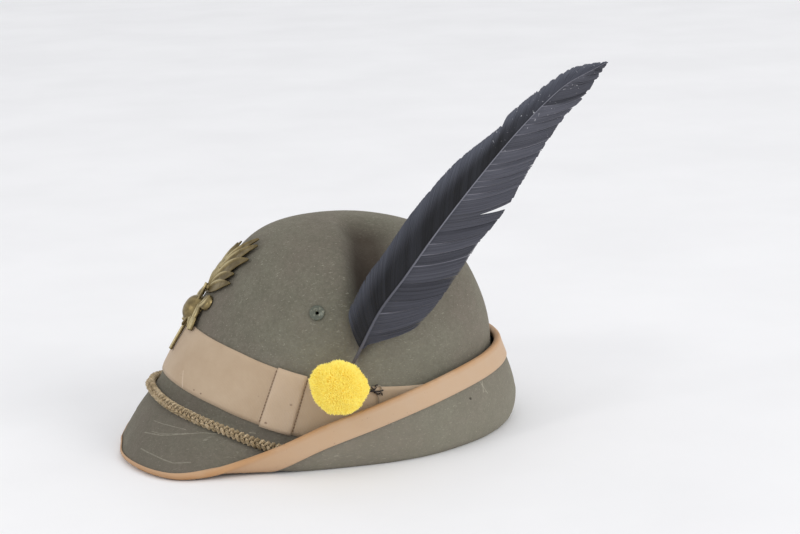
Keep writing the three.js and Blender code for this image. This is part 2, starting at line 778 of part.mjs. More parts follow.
function frontPlace(across, up, height) {
  const line = frontLine;
  const at = line.bendLength - line.bandUp - up;
  const point = alongMeridian(line, at);
  const along = alongMeridian(line, at - 1).sub(alongMeridian(line, at + 1)).normalize();
  const outward = new THREE.Vector3(0, -along.z, along.y);
  point.addScaledVector(outward, feltThickness / 2 + height - (across * across) / (2 * badgeBend));
  point.x += across;
  return point;
}

const frontLine = meridian(0);

function onFront(geometry) {
  const position = geometry.attributes.position;
  for (let k = 0; k < position.count; k += 1) {
    const p = frontPlace(position.getX(k), position.getY(k), position.getZ(k));
    position.setXYZ(k, p.x, p.y, p.z);
  }
  return outwardFacing(geometry);
}

// Ridged tongue: centre line, half widths and ridge height along it
function tongue(line, widths, ridge, seat) {
  const curve = new THREE.CatmullRomCurve3(line.map(([x, y]) => new THREE.Vector3(x, y, 0)));
  const steps = 5;
  const rows = widths.map((width, n) => ({ share: n / (widths.length - 1), width }));
  const sections = [];
  for (let n = 0; n <= steps; n += 1) {
    const share = n / steps;
    const at = curve.getPoint(share);
    const along = curve.getTangent(share);
    const width = readColumn(rows, 'share', 'width', share);
    const rise = (ridge * width) / Math.max(...widths);
    sections.push([
      new THREE.Vector3(at.x - along.y * width, at.y + along.x * width, seat),
      new THREE.Vector3(at.x, at.y, seat + 0.8 + rise),
      new THREE.Vector3(at.x + along.y * width, at.y - along.x * width, seat),
    ]);
  }
  return loft(sections);
}

const flameFoot = 58;
const bossUp = 45.6;
const flameRows = [
  { lean: 0, reach: 34, curl: 3 },
  { lean: 14, reach: 33, curl: 2 },
  { lean: 28, reach: 31, curl: 3 },
  { lean: 43, reach: 28, curl: 4 },
  { lean: 58, reach: 23, curl: 4 },
];

function badgeGeometry() {
  const parts = [];
  for (const { lean, reach, curl } of flameRows) {
    for (const side of lean === 0 ? [1] : [1, -1]) {
      const angle = THREE.MathUtils.degToRad(lean);
      const at = (way, bend) => [
        side * (way * Math.sin(angle) - bend * Math.cos(angle)),
        flameFoot + way * Math.cos(angle) + bend * Math.sin(angle),
      ];
      parts.push(tongue(
        [at(0, 0), at(reach * 0.35, -curl * 0.4), at(reach * 0.7, curl * 0.3), at(reach, curl)],
        [1.8, 3.1, 2.6, 0.4],
        2.6,
        badgeSeat,
      ));
    }
  }
  for (const side of [1, -1]) {
    parts.push(tongue([[0, 34], [side * 6, 38], [side * 11, 44]], [1.6, 2.6, 0.5], 1.6, rodSeat + 0.8));
    parts.push(tongue([[0, 34], [side * 5, 32], [side * 9, 27]], [1.4, 2.2, 0.5], 1.4, rodSeat + 0.8));
  }
  const boss = [[0, badgeSeat], [7.6, badgeSeat], [7.8, 2.2], [6.6, 4.6], [4, 6.4], [0, 7.2]];
  const dome = mergedBare(new THREE.LatheGeometry(boss.map(([r, h]) => new THREE.Vector2(r, h)), 14));
  dome.rotateX(Math.PI / 2).translate(0, bossUp, 0);
  parts.push(dome);
  const rod = new THREE.BoxGeometry(2.6, 26, 2.2, 1, 6, 1).translate(0, 27, rodSeat + 1.8);
  const stem = new THREE.BoxGeometry(4.6, 14, 3, 1, 3, 1).translate(0, 53.5, badgeSeat + 1.6);
  const collar = new THREE.BoxGeometry(8.5, 2.4, 4, 2, 1, 1).translate(0, flameFoot, badgeSeat + 2.1);
  parts.push(rod, stem, collar);
  return fused(parts.map(onFront));
}

addPiece('felt_body', feltWithHoles(), feltFinish);
addPiece('edge_binding', bindingGeometry(), leatherFinish);
addPiece('hat_band', bandGeometry(), ribbonFinish);
addPiece('band_knot', knotGeometry(), ribbonFinish);
addPiece('braided_cord', cordGeometry(), cordFinish);
for (const [name, side] of [['eyelet_left', 1], ['eyelet_right', -1]]) {
  const eyelet = addPiece(name, eyeletGeometry(), eyeletFinish);
  eyeletPlacement(side).decompose(eyelet.position, eyelet.quaternion, eyelet.scale);
}
addPiece('plume', plumeGeometry(), plumeFinish);
addPiece('pompom', pompomGeometry(), woolFinish);
addPiece('pompom_wire', wireGeometry(), eyeletFinish);
addPiece('torch_badge', badgeGeometry(), brassFinish);

// The middle of the object's box and the surface that it lies on are the origin
const box = new THREE.Box3().setFromObject(hat, true);
const centre = box.getCenter(new THREE.Vector3());
hat.position.set(-centre.x, -centre.y, -box.min.z);

export default hat;
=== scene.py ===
import bpy, bmesh, json, math
import numpy as np
from mathutils import Matrix, Vector

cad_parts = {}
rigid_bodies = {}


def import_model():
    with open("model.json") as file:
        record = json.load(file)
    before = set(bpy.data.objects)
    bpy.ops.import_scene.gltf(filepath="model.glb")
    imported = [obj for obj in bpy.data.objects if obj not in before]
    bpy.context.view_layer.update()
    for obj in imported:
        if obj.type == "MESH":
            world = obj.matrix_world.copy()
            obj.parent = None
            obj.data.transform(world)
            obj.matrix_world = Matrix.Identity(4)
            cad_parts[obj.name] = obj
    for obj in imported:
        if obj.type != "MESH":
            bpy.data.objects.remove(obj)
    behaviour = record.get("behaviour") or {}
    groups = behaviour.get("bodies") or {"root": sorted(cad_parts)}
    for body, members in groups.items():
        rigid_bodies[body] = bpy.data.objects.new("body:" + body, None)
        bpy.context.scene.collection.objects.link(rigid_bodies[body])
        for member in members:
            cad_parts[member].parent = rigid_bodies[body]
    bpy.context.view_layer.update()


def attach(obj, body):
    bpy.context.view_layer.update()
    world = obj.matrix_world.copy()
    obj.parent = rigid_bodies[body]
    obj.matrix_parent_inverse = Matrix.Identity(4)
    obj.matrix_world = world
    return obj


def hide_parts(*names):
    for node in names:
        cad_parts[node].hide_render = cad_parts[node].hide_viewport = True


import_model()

# The cap is drawn in millimetres about the middle of its head hollow, with the peak towards -Y
# and the wearer's left towards +X, and is then moved into the shared frame, in metres.
hatShift = np.array([-10.7715, -13.2884, 0.0])


def toFrame(points):
    return (np.asarray(points, float).reshape(-1, 3) + hatShift) * 0.001


def unit(vectors):
    return vectors / np.maximum(np.linalg.norm(vectors, axis=-1), 1e-9)[..., None]


def runLengths(line):
    return np.concatenate([[0], np.cumsum(np.linalg.norm(np.diff(line, axis=0), axis=1))])


def ringLengths(line):
    # in metres, back to the first point
    return runLengths(np.vstack([line, line[:1]])) / 1000


def meanLengths(sections):
    # in metres, along the sections, the mean of all of them
    steps = np.linalg.norm(np.diff(sections, axis=1), axis=2).mean(0)
    return np.concatenate([[0], np.cumsum(steps)]) / 1000


def smoothRing(values, reach, width):
    weights = np.exp(-0.5 * (np.arange(-reach, reach + 1) / width) ** 2)
    weights /= weights.sum()
    return sum(w * np.roll(values, n, 0) for w, n in zip(weights, range(-reach, reach + 1)))


def smoothStep(value, low, high):
    share = np.clip((value - low) / (high - low), 0, 1)
    return share * share * (3 - 2 * share)


def hermite(t, start, startSlope, end, endSlope):
    return ((2 * t**3 - 3 * t**2 + 1) * start + (t**3 - 2 * t**2 + t) * startSlope
            + (3 * t**2 - 2 * t**3) * end + (t**3 - t**2) * endSlope)


def linearTone(red, green, blue):
    tone = [c / 255 for c in (red, green, blue)]
    return tuple([c / 12.92 if c <= 0.04045 else ((c + 0.055) / 1.055) ** 2.4 for c in tone] + [1.0])


# ---- shader and geometry tree helpers
def addNode(tree, kind, inputs=None, **settings):
    node = tree.nodes.new(kind)
    for key, value in settings.items():
        setattr(node, key, value)
    for key, value in (inputs or {}).items():
        socket = node.inputs[key]
        if isinstance(value, bpy.types.NodeSocket):
            tree.links.new(value, socket)
        else:
            socket.default_value = value
    return node


def maths(tree, operation, first, second=0.0, clamp=False):
    return addNode(tree, "ShaderNodeMath", {0: first, 1: second}, operation=operation, use_clamp=clamp).outputs[0]


def times(tree, first, second):
    return maths(tree, "MULTIPLY", first, second)


def vectorMaths(tree, operation, inputs):
    node = addNode(tree, "ShaderNodeVectorMath", inputs, operation=operation)
    return node.outputs["Value" if operation in ("DOT_PRODUCT", "DISTANCE") else "Vector"]


def splitVector(tree, vector):
    return addNode(tree, "ShaderNodeSeparateXYZ", {0: vector}).outputs


def joinVector(tree, x, y, z):
    return addNode(tree, "ShaderNodeCombineXYZ", {0: x, 1: y, 2: z}).outputs[0]


def mixTones(tree, factor, first, second):
    return addNode(tree, "ShaderNodeMix", {0: factor, 6: first, 7: second}, data_type="RGBA").outputs[2]


def layTone(tree, base, mask, strength, tone):
    return mixTones(tree, times(tree, mask, strength), base, tone)


def spread(tree, value, fromLow, fromHigh, toLow=0.0, toHigh=1.0):
    names = {"Value": value, "From Min": fromLow, "From Max": fromHigh, "To Min": toLow, "To Max": toHigh}
    return addNode(tree, "ShaderNodeMapRange", names, clamp=True).outputs["Result"]


def noise(tree, where, scale, detail=3.0, roughness=0.55, distortion=0.0):
    names = {"Vector": where, "Scale": scale, "Detail": detail, "Roughness": roughness, "Distortion": distortion}
    return addNode(tree, "ShaderNodeTexNoise", names).outputs["Fac"]


def patches(tree, spot, scale, detail, roughness, low, high):
    return spread(tree, noise(tree, spot, scale, detail, roughness), low, high)


def paintPatches(tree, spot, base, rows):
    # each row: the noise's scale, detail and roughness, the range of it that shows, strength and tone
    for *row, strength, tone in rows:
        base = layTone(tree, base, patches(tree, spot, *row), strength, tone)
    return base


def vertexTone(tree, name):
    return addNode(tree, "ShaderNodeAttribute", attribute_name=name).outputs["Fac"]


def newMaterial(name, settings):
    material = bpy.data.materials.new(name)
    material.use_nodes = True
    tree = material.node_tree
    tree.nodes.clear()
    shader = addNode(tree, "ShaderNodeBsdfPrincipled", settings)
    addNode(tree, "ShaderNodeOutputMaterial", {"Surface": shader.outputs[0]})
    where = addNode(tree, "ShaderNodeTexCoord").outputs
    return material, tree, shader, where["Object"], where["UV"]


def setSocket(tree, shader, name, value):
    tree.links.new(value, shader.inputs[name])


def addBump(tree, shader, height, strength, distance):
    names = {"Height": height, "Strength": strength, "Distance": distance}
    if shader.inputs["Normal"].links:
        names["Normal"] = shader.inputs["Normal"].links[0].from_socket
    bump = addNode(tree, "ShaderNodeBump", names)
    tree.links.new(bump.outputs[0], shader.inputs["Normal"])


# ---- mesh helpers
def makeObject(name, mesh, material=None):
    piece = bpy.data.objects.new(name, mesh)
    bpy.context.scene.collection.objects.link(piece)
    if material:
        mesh.materials.append(material)
    return piece


def makeMesh(name, points, faces, faceUvs=None):
    mesh = bpy.data.meshes.new(name)
    mesh.from_pydata(toFrame(points).tolist(), [], [list(map(int, f)) for f in faces])
    if faceUvs is not None:
        layer = mesh.uv_layers.new(name="UVMap")
        layer.data.foreach_set("uv", np.array([uv for face in faceUvs for uv in face], np.float32).ravel())
    mesh.update()
    mesh.polygons.foreach_set("use_smooth", [True] * len(mesh.polygons))
    return mesh


def pointValues(mesh, name, values):
    values = np.asarray(values, np.float32)
    kind, field = ("FLOAT_VECTOR", "vector") if values.ndim == 2 else ("FLOAT", "value")
    mesh.attributes.new(name, kind, "POINT").data.foreach_set(field, values.ravel())


def turnOutwards(mesh):
    work = bmesh.new()
    work.from_mesh(mesh)
    bmesh.ops.recalc_face_normals(work, faces=work.faces)
    if work.calc_volume(signed=True) < 0:
        bmesh.ops.reverse_faces(work, faces=work.faces)
    work.to_mesh(mesh)
    work.free()
    mesh.update()


def ringedMesh(name, sections, aroundLengths, closedRound=True):
    # sections: (around, across, 3), each section a closed loop; UVs in metres round the cap and over the section
    count, size = sections.shape[:2]
    acrossLengths = meanLengths(np.concatenate([sections, sections[:, :1]], 1))
    faces, uvs = [], []
    last = count if closedRound else count - 1
    for a in range(last):
        b = (a + 1) % count
        for s in range(size):
            t = (s + 1) % size
            faces.append((a * size + s, a * size + t, b * size + t, b * size + s))
            u0, u1 = aroundLengths[a], aroundLengths[a + 1]
            v0, v1 = acrossLengths[s], acrossLengths[s + 1]
            uvs.append(((u0, v0), (u0, v1), (u1, v1), (u1, v0)))
    points = sections.reshape(-1, 3)
    if not closedRound:
        for first, section in ((0, 0), ((count - 1) * size, count - 1)):
            hub = len(points)
            points = np.vstack([points, sections[section].mean(0)])
            for s in range(size):
                faces.append((first + s, first + (s + 1) % size, hub))
                uvs.append(((0, 0), (0, 0), (0, 0)))
    mesh = makeMesh(name, points, faces, uvs)
    turnOutwards(mesh)
    return mesh


def bakeNodes(piece):
    # The piece's node tree turned into a plain mesh; the modifier goes with the old object
    depsgraph = bpy.context.evaluated_depsgraph_get()
    mesh = bpy.data.meshes.new_from_object(piece.evaluated_get(depsgraph), depsgraph=depsgraph)
    mesh.name = piece.name
    print("baked", piece.name, len(mesh.polygons), "faces")
    bpy.data.objects.remove(piece)
    return mesh


def newTree(name, floats="", whole=""):
    # floats and whole: the names of its number inputs; the values come with the modifier
    tree = bpy.data.node_groups.new(name, "GeometryNodeTree")
    kinds = [("Geometry", "Geometry"), ("Material", "Material")]
    kinds += [(label, "Float") for label in floats.split()] + [(label, "Int") for label in whole.split()]
    for label, kind in kinds:
        tree.interface.new_socket(label, in_out="INPUT", socket_type="NodeSocket" + kind)
    tree.interface.new_socket("Geometry", in_out="OUTPUT", socket_type="NodeSocketGeometry")
    start = tree.nodes.new("NodeGroupInput")
    end = tree.nodes.new("NodeGroupOutput")
    return tree, start.outputs, end


def shapeNode(tree, kind, inputs=None, **settings):
    return addNode(tree, "GeometryNode" + kind, inputs, **settings).outputs[0]


def storePoint(tree, geometry, name, value):
    names = {"Geometry": geometry, "Name": name, "Value": value}
    return shapeNode(tree, "StoreNamedAttribute", names, data_type="FLOAT", domain="POINT")


def applyTree(piece, tree, values):
    modifier = piece.modifiers.new(tree.name, "NODES")
    modifier.node_group = tree
    for item in tree.interface.items_tree:
        if item.item_type == "SOCKET" and item.in_out == "INPUT" and item.name in values:
            modifier[item.identifier] = values[item.name]


def endTree(tree, given, end, geometry):
    real = shapeNode(tree, "RealizeInstances", {0: geometry})
    done = shapeNode(tree, "SetMaterial", {"Geometry": real, "Material": given["Material"]})
    tree.links.new(done, end.inputs[0])
    return tree


def pointData(tree, name, kind="FLOAT_VECTOR"):
    return addNode(tree, "GeometryNodeInputNamedAttribute", {"Name": name}, data_type=kind).outputs["Attribute"]


def finishPiece(piece, nodeNames):
    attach(piece, "root")
    if nodeNames:
        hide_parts(*nodeNames)
    print("piece", piece.name, "done")


# ---- camera, floor and lights
cameraShape = {
    "turn": 13.0, "rise": 13.0, "roll": -2.0, "distance": 1223.7,
    "aimAcross": 52.3, "aimUp": 103.4, "lens": 85.0, "sensor": 36.0, "near": 0.05,
}


def wayFrom(turn, rise):
    return Vector((math.cos(turn) * math.cos(rise), -math.sin(turn) * math.cos(rise), math.sin(rise)))


def buildCamera(shape):
    turn, rise, roll = (math.radians(shape[k]) for k in ("turn", "rise", "roll"))
    back = wayFrom(turn, rise)
    right = Vector((math.sin(turn), math.cos(turn), 0))
    up = right.cross(-back).normalized()
    target = right * shape["aimAcross"] + Vector((0, 0, shape["aimUp"]))
    right, up = right * math.cos(roll) + up * math.sin(roll), up * math.cos(roll) - right * math.sin(roll)
    place = Vector(toFrame(target + back * shape["distance"])[0])
    data = bpy.data.cameras.new("photoCamera")
    data.lens = shape["lens"]
    data.sensor_width = shape["sensor"]
    data.clip_start = shape["near"]
    camera = bpy.data.objects.new("photoCamera", data)
    bpy.context.scene.collection.objects.link(camera)
    columns = Matrix((right, up, back)).transposed().to_4x4()
    camera.matrix_world = Matrix.Translation(place) @ columns
    bpy.context.scene.camera = camera


# name, direction in degrees from the camera's side (positive to its right), rise, distance, size, power
lightRows = [
    ("sideLight", 60, 24, 5.0, 3.2, 84),
    ("edgeLight", -52, 30, 1.9, 0.3, 4),
]
lampTone, lampAim = (1.0, 0.985, 0.96), Vector((0, 0, 0.08))
worldTone = {"color": (0.985, 0.99, 1.0, 1.0), "strength": 0.91}
floorShape = {"half": 9.0, "tone": linearTone(240, 240, 242), "cloud": linearTone(236, 236, 238), "cloudScale": 5.0}


def buildStage():
    data = bpy.data.meshes.new("floor")
    h = floorShape["half"]
    data.from_pydata([(-h, -h, 0), (h, -h, 0), (h, h, 0), (-h, h, 0)], [], [(0, 1, 2, 3)])
    material, tree, shader, spot, _ = newMaterial("paleFloor", {"Roughness": 0.75, "Specular IOR Level": 0.25})
    cloud = patches(tree, spot, floorShape["cloudScale"], 4, 0.55, 0.35, 0.65)
    setSocket(tree, shader, "Base Color", mixTones(tree, cloud, floorShape["tone"], floorShape["cloud"]))
    floor = makeObject("floor", data, material)
    for name, side, rise, distance, size, power in lightRows:
        lamp = bpy.data.lights.new(name, "AREA")
        lamp.shape = "DISK"
        lamp.size = size
        lamp.energy = power
        lamp.color = lampTone
        back = wayFrom(math.radians(cameraShape["turn"] - side), math.radians(rise))
        light = bpy.data.objects.new(name, lamp)
        bpy.context.scene.collection.objects.link(light)
        light.location = back * distance + lampAim
        light.rotation_euler = back.to_track_quat("Z", "Y").to_euler()
    world = bpy.data.worlds.new("studioSky")
    world.use_nodes = True
    background = world.node_tree.nodes["Background"]
    background.inputs[0].default_value = worldTone["color"]
    background.inputs[1].default_value = worldTone["strength"]
    bpy.context.scene.world = world
    bpy.context.scene.view_settings.view_transform = "Standard"


buildCamera(cameraShape)
buildStage()
print("camera and stage done")

# ---- the felt: crown and brim in one
feltShape = {
    "thickness": 2.4, "top": 138.4, "topY": 9.0, "bandHeight": 36.5, "legWidth": 12.6,
    "directions": 288, "leatherUnder": 1.5, "wave": (0.35, 62, 5),
}
# share of the height over the bend; reach to the front and back; half width
crownRows = np.array([
    (0, 107, 107, 83.4), (0.08, 102.6, 108.2, 83.2), (0.25, 92.6, 110.3, 82), (0.43, 80.4, 109.3, 79.5),
    (0.61, 67.5, 103.4, 74), (0.77, 54.2, 92, 64.5), (0.9, 38.8, 71.5, 49), (0.97, 21, 43, 29),
])
# direction, band's height over the bend, height of the bend, then way out and height of four stations
brimRows = np.array([
    (0, 8, 38, 7, 29.5, 14, 20.5, 20.5, 11.5, 25.8, 2.5),
    (15, 8, 36.5, 9, 28.5, 18, 19.8, 26.5, 11, 33.8, 2.5),
    (28, 8, 33, 10.5, 26, 21, 18, 31, 10, 39.2, 2.5),
    (36, 8, 30, 11.5, 23.5, 23, 15.8, 33, 9, 41.5, 2.5),
    (42, 7.8, 27.5, 11.5, 21, 22.5, 13.5, 32, 7.5, 40.3, 2.7),
    (48, 7.4, 24.5, 10, 18, 19, 11, 27, 5.8, 33.3, 3.8),
    (55, 7, 21, 8, 14.5, 15.5, 7.5, 21.3, 3.6, 25.5, 8),
    (62, 6.5, 17.5, 6.8, 10.5, 12.8, 3.6, 17.8, 3.6, 20.5, 12.8),
    (70, 5.8, 14, 5.5, 7.2, 11, 1.6, 16.4, 5.3, 16.9, 18.9),
    (80, 5, 9.5, 4.8, 4.4, 10, 1, 15, 9, 13.7, 27),
    (92, 5, 6.5, 4.2, 2.8, 9.8, 1, 14.8, 12, 12, 34),
    (110, 3.2, 4.5, 4.5, 1.3, 11.3, 1, 16.2, 14, 11.6, 43.2),
    (130, 2.2, 4, 5, 1.15, 12.5, 1, 17.3, 17, 11, 50),
    (155, 2, 4, 5.5, 1.15, 13.5, 1, 18.6, 18, 9.5, 53),
    (180, 2, 4, 5.5, 1.15, 14, 1, 18.2, 18, 8, 53),
])
rightRows = np.array([(0, 1), (12, 0.76), (28, 0.69), (40, 0.74), (62, 1), (90, 1), (180, 1)])
ringStops = [0, 8, 11, 12, 13, 14, 15, 16, 19]


def readRows(table, at):
    # Catmull-Rom through the rows, which are mirrored past both ends
    keys, values = table[:, 0], table[:, 1:]
    k = np.concatenate([[2 * keys[0] - keys[1]], keys, [2 * keys[-1] - keys[-2]]])
    v = np.concatenate([values[1:2], values, values[-2:-1]])
    at = np.atleast_1d(np.asarray(at, float))
    i = np.clip(np.searchsorted(keys, at, side="right") - 1, 0, len(keys) - 2) + 1
    span = (k[i + 1] - k[i])[:, None]
    t = (at[:, None] - k[i][:, None]) / span
    startSlope = (v[i + 1] - v[i - 1]) / (k[i + 1] - k[i - 1])[:, None]
    endSlope = (v[i + 2] - v[i]) / (k[i + 2] - k[i])[:, None]
    return hermite(t, v[i], span * startSlope, v[i + 1], span * endSlope)


def readBrim(direction):
    turned = np.mod(direction, 360)
    folded = np.where(turned > 180, 360 - turned, turned)
    rows = readRows(brimRows, folded)
    share = np.where(turned > 180, readRows(rightRows, folded)[:, 0], 1.0)
    rows[:, [2, 4, 6, 8]] *= share[:, None]
    return rows


def sectionPoints(row, direction, root):
    angle = np.radians(direction)
    share, front, back, side = row
    middle, half = (back - front) / 2, (back + front) / 2
    up = root + share * (feltShape["top"] - root)
    return np.stack([side * np.sin(angle), middle - half * np.cos(angle), up], -1)


def outsidePoints(direction, out, up, root):
    angle = np.radians(direction)
    foot = sectionPoints(crownRows[0], direction, root)
    # square to the oval at the crown's foot
    outward = unit(np.stack([np.sin(angle) / crownRows[0, 3], -np.cos(angle) / crownRows[0, 1]], -1))
    return np.stack([foot[:, 0] + outward[:, 0] * out, foot[:, 1] + outward[:, 1] * out, up], -1)


def splineRows(points, fine):
    # centripetal spline through (lines, points, 3); the first point only sets the start's slope
    last = 2 * points[:, -1:] - points[:, -2:-1]
    p = np.concatenate([points, last], 1)
    out = []
    for i in range(1, points.shape[1] - 1):
        p0, p1, p2, p3 = (p[:, i + n] for n in (-1, 0, 1, 2))
        gaps = ((p0, p1), (p1, p2), (p2, p3))
        d0, d1, d2 = (np.maximum(np.linalg.norm(b - a, axis=1), 1e-4)[:, None] ** 0.5 for a, b in gaps)
        m1 = ((p1 - p0) / d0 - (p2 - p0) / (d0 + d1) + (p2 - p1) / d1) * d1
        m2 = ((p2 - p1) / d1 - (p3 - p1) / (d1 + d2) + (p3 - p2) / d2) * d1
        out += [hermite(n / fine, p1, m1, p2, m2) for n in range(fine)]
    out.append(points[:, -1])
    return np.stack(out, 1)


# the fold in the crown's left side: height, front ridge, width and depth
creaseShape = {
    "rows": np.array([(56, 4, 6, 0), (62, 4, 8, 3), (68, 4.5, 13, 6.5), (76, 5, 20, 9.5), (97, 5, 31, 13),
                      (118, 5.5, 38, 13.5), (134, 6.5, 44, 11), (140, 6.5, 46, 9)]),
    "centreUp": 54.0, "sideFrom": 2.0, "sideFull": 34.0, "ridge": 1.2,
}


def creaseCrown(points):
    s = creaseShape
    x, y, z = points[..., 0], points[..., 1], points[..., 2]
    start, width, depth = (np.interp(z, s["rows"][:, 0], s["rows"][:, n]) for n in (1, 2, 3))
    across = (y - start) / width
    valley = smoothStep(across, -0.06, 0.34) * (1 - smoothStep(across, 0.36, 1.05))
    ridge = np.exp(-(((y - start + 3.5) / 5.0) ** 2)) * smoothStep(z, 62, 80)
    side = smoothStep(x, s["sideFrom"], s["sideFull"])
    inward = unit(np.stack([-x, np.zeros_like(x), s["centreUp"] - z], -1))
    hollow = valley * depth * side * (z > s["centreUp"])
    amount = hollow - ridge * s["ridge"] * side
    return points + inward * amount[..., None], hollow / s["rows"][:, 3].max()


def feltLines(direction):
    rows = readBrim(direction)
    root = rows[:, 1]
    upper = crownRows[::-1]
    apex = np.tile([0, feltShape["topY"], feltShape["top"]], (len(direction), 1))
    points = [sectionPoints(upper[0], direction + 180, root), apex]
    points += [sectionPoints(row, direction, root) for row in upper]
    points += [outsidePoints(direction, rows[:, 2 + 2 * n], rows[:, 3 + 2 * n], root) for n in range(4)]
    points = np.stack(points, 1)
    fine = 24
    samples = splineRows(points, fine)
    steps = np.linalg.norm(np.diff(samples, axis=1), axis=2)
    lengths = np.concatenate([np.zeros((len(direction), 1)), np.cumsum(steps, 1)], 1)
    bend = lengths[:, len(crownRows) * fine]
    first = lengths[:, (len(crownRows) + 1) * fine]
    second = lengths[:, (len(crownRows) + 2) * fine]
    total = lengths[:, -1]
    legStart = total - feltShape["legWidth"]
    sole = np.minimum(second, bend + 0.8 * (legStart - bend))
    foot = bend - rows[:, 0]
    middle = (sole + legStart) / 2
    stops = [0 * bend, foot - feltShape["bandHeight"], foot, bend, first, sole, middle, legStart, total]
    return samples, lengths, np.stack(stops, 1)


def buildNet():
    count = feltShape["directions"]
    directions = np.arange(count) * 360 / count
    samples, lengths, stops = feltLines(directions)
    counts = (45, 13, 6, 5, 5, 9, 9, 10)
    spans = zip(ringStops, ringStops[1:], counts)
    rings = np.unique(np.concatenate([np.linspace(*span) for span in spans]).round(6))
    net = np.zeros((count, len(rings), 3))
    for k in range(count):
        at = np.interp(rings, ringStops, stops[k])
        for axis in range(3):
            net[k, :, axis] = np.interp(at, lengths[k], samples[k, :, axis])
    # a little smoothing round the cap takes the corners of the tables away
    kept = smoothRing(net, 4, 1.6)
    kept[:, 0] = net[:, 0].mean(0)
    kept, hollow = creaseCrown(kept)
    return directions, rings, kept, hollow


def netNormals(net):
    along = np.gradient(net, axis=1)
    sideways = np.roll(net, -1, 0) - np.roll(net, 1, 0)
    normal = unit(np.cross(along, sideways))
    normal[:, 0] = (0, 0, 1)
    return normal


directions, rings, net, hollow = buildNet()
normals = netNormals(net)
print("felt net", net.shape)


def overFelt(direction, ring, offset=0.0):
    # Points over the felt at directions in degrees and ring numbers; offset in millimetres off its middle
    given = [np.atleast_1d(np.asarray(v, float)) for v in (direction, ring, offset)]
    direction, ring, offset = np.broadcast_arrays(*given)
    k = np.mod(direction, 360) / 360 * len(directions)
    k0 = np.floor(k).astype(int)
    f = (k - k0)[:, None]
    r = np.interp(ring, rings, np.arange(len(rings)))
    r0 = np.minimum(np.floor(r).astype(int), len(rings) - 2)
    g = (r - r0)[:, None]
    k0 = k0 % len(directions)
    k1 = (k0 + 1) % len(directions)

    def read(grid):
        near = grid[k0, r0] * (1 - f) + grid[k1, r0] * f
        far = grid[k0, r0 + 1] * (1 - f) + grid[k1, r0 + 1] * f
        return near * (1 - g) + far * g

    out = unit(read(normals))
    return read(net) + out * offset[:, None], out


def leftFace(y, up):
    # the place on the crown's left side, seen square from the left, and the way out of it
    direction, ring = np.meshgrid(np.linspace(50, 130, 321), np.linspace(2, 12, 401), indexing="ij")
    points, outs = overFelt(direction.ravel(), ring.ravel())
    n = ((points[:, 1] - y) ** 2 + (points[:, 2] - up) ** 2).argmin()
    return points[n], outs[n]


def ripple(points, amount, size, seed):
    # slow unevenness made of a few fixed waves
    generator = np.random.default_rng(seed)
    total = np.zeros(points.shape[:-1])
    for _ in range(10):
        way = unit(generator.normal(size=3))
        turns = points @ way * 2 * math.pi / (size * generator.uniform(0.6, 1.6))
        total += np.sin(turns + generator.uniform(0, 6.28))
    return amount * total / 3.2


def buildFelt():
    half = feltShape["thickness"] / 2
    # no ripple at the top, under the band and on the turned-up brim
    rippled = smoothStep(rings, 0.2, 1.5) * (np.abs(rings - 9.5) >= 1.8) * (rings < 14.9)
    wave = (ripple(net, *feltShape["wave"]) * rippled)[..., None]
    # nothing under the table, and room for the leather under the fold
    low = np.where(rings >= 16, feltShape["leatherUnder"], 0.0)
    low = np.where(rings > 12, low, -1e3)
    layers = [net + normals * (side * half) + normals * wave for side in (1, -1)]
    for layer in layers:
        layer[..., 2] = np.maximum(layer[..., 2], low)
    count, size = net.shape[:2]
    points = np.concatenate([layer.reshape(-1, 3) for layer in layers])
    lengths = meanLengths(net)
    # the points' numbers by layer, line and ring; each layer's first ring is one point
    numbers = np.arange(len(points)).reshape(2, count, size)
    numbers[:, :, 0] = numbers[:, :1, 0]
    beside = np.roll(numbers, -1, 1)
    faces, uvs = [], []
    for side, order in enumerate((1, -1)):
        for k in range(count):
            u0, u1 = k / count, (k + 1) / count
            for r in range(size - 1):
                face = [*numbers[side, k, r:r + 2], *beside[side, k, r:r + 2][::-1]]
                uv = [(u0, lengths[r]), (u0, lengths[r + 1]), (u1, lengths[r + 1]), (u1, lengths[r])]
                corners = 3 if r == 0 else 4
                faces.append(face[:corners][::order])
                uvs.append(uv[:corners][::order])
    for k in range(count):
        faces.append([numbers[0, k, -1], numbers[1, k, -1], beside[1, k, -1], beside[0, k, -1]])
        uvs.append([(0, 0)] * 4)
    used = np.unique(np.concatenate([np.array(f) for f in faces]))
    number = -np.ones(len(points), int)
    number[used] = np.arange(len(used))
    faces = [tuple(number[list(f)]) for f in faces]
    mesh = makeMesh("feltHat", points[used], faces, uvs)
    turnOutwards(mesh)
    pointValues(mesh, "hollow", np.tile(hollow.ravel(), 2)[used])
    return mesh


feltLook = {
    "light": linearTone(118, 116, 103), "brown": linearTone(115, 107, 98), "dark": linearTone(96, 93, 82),
    # the crease's colour here is painted shade
    "pale": linearTone(172, 168, 152), "creaseShade": linearTone(62, 52, 45), "grain": linearTone(92, 89, 78),
    "peak": linearTone(90, 84, 77), "spot": linearTone(40, 36, 32), "grainScale": 950.0, "fibreScale": 980.0,
}
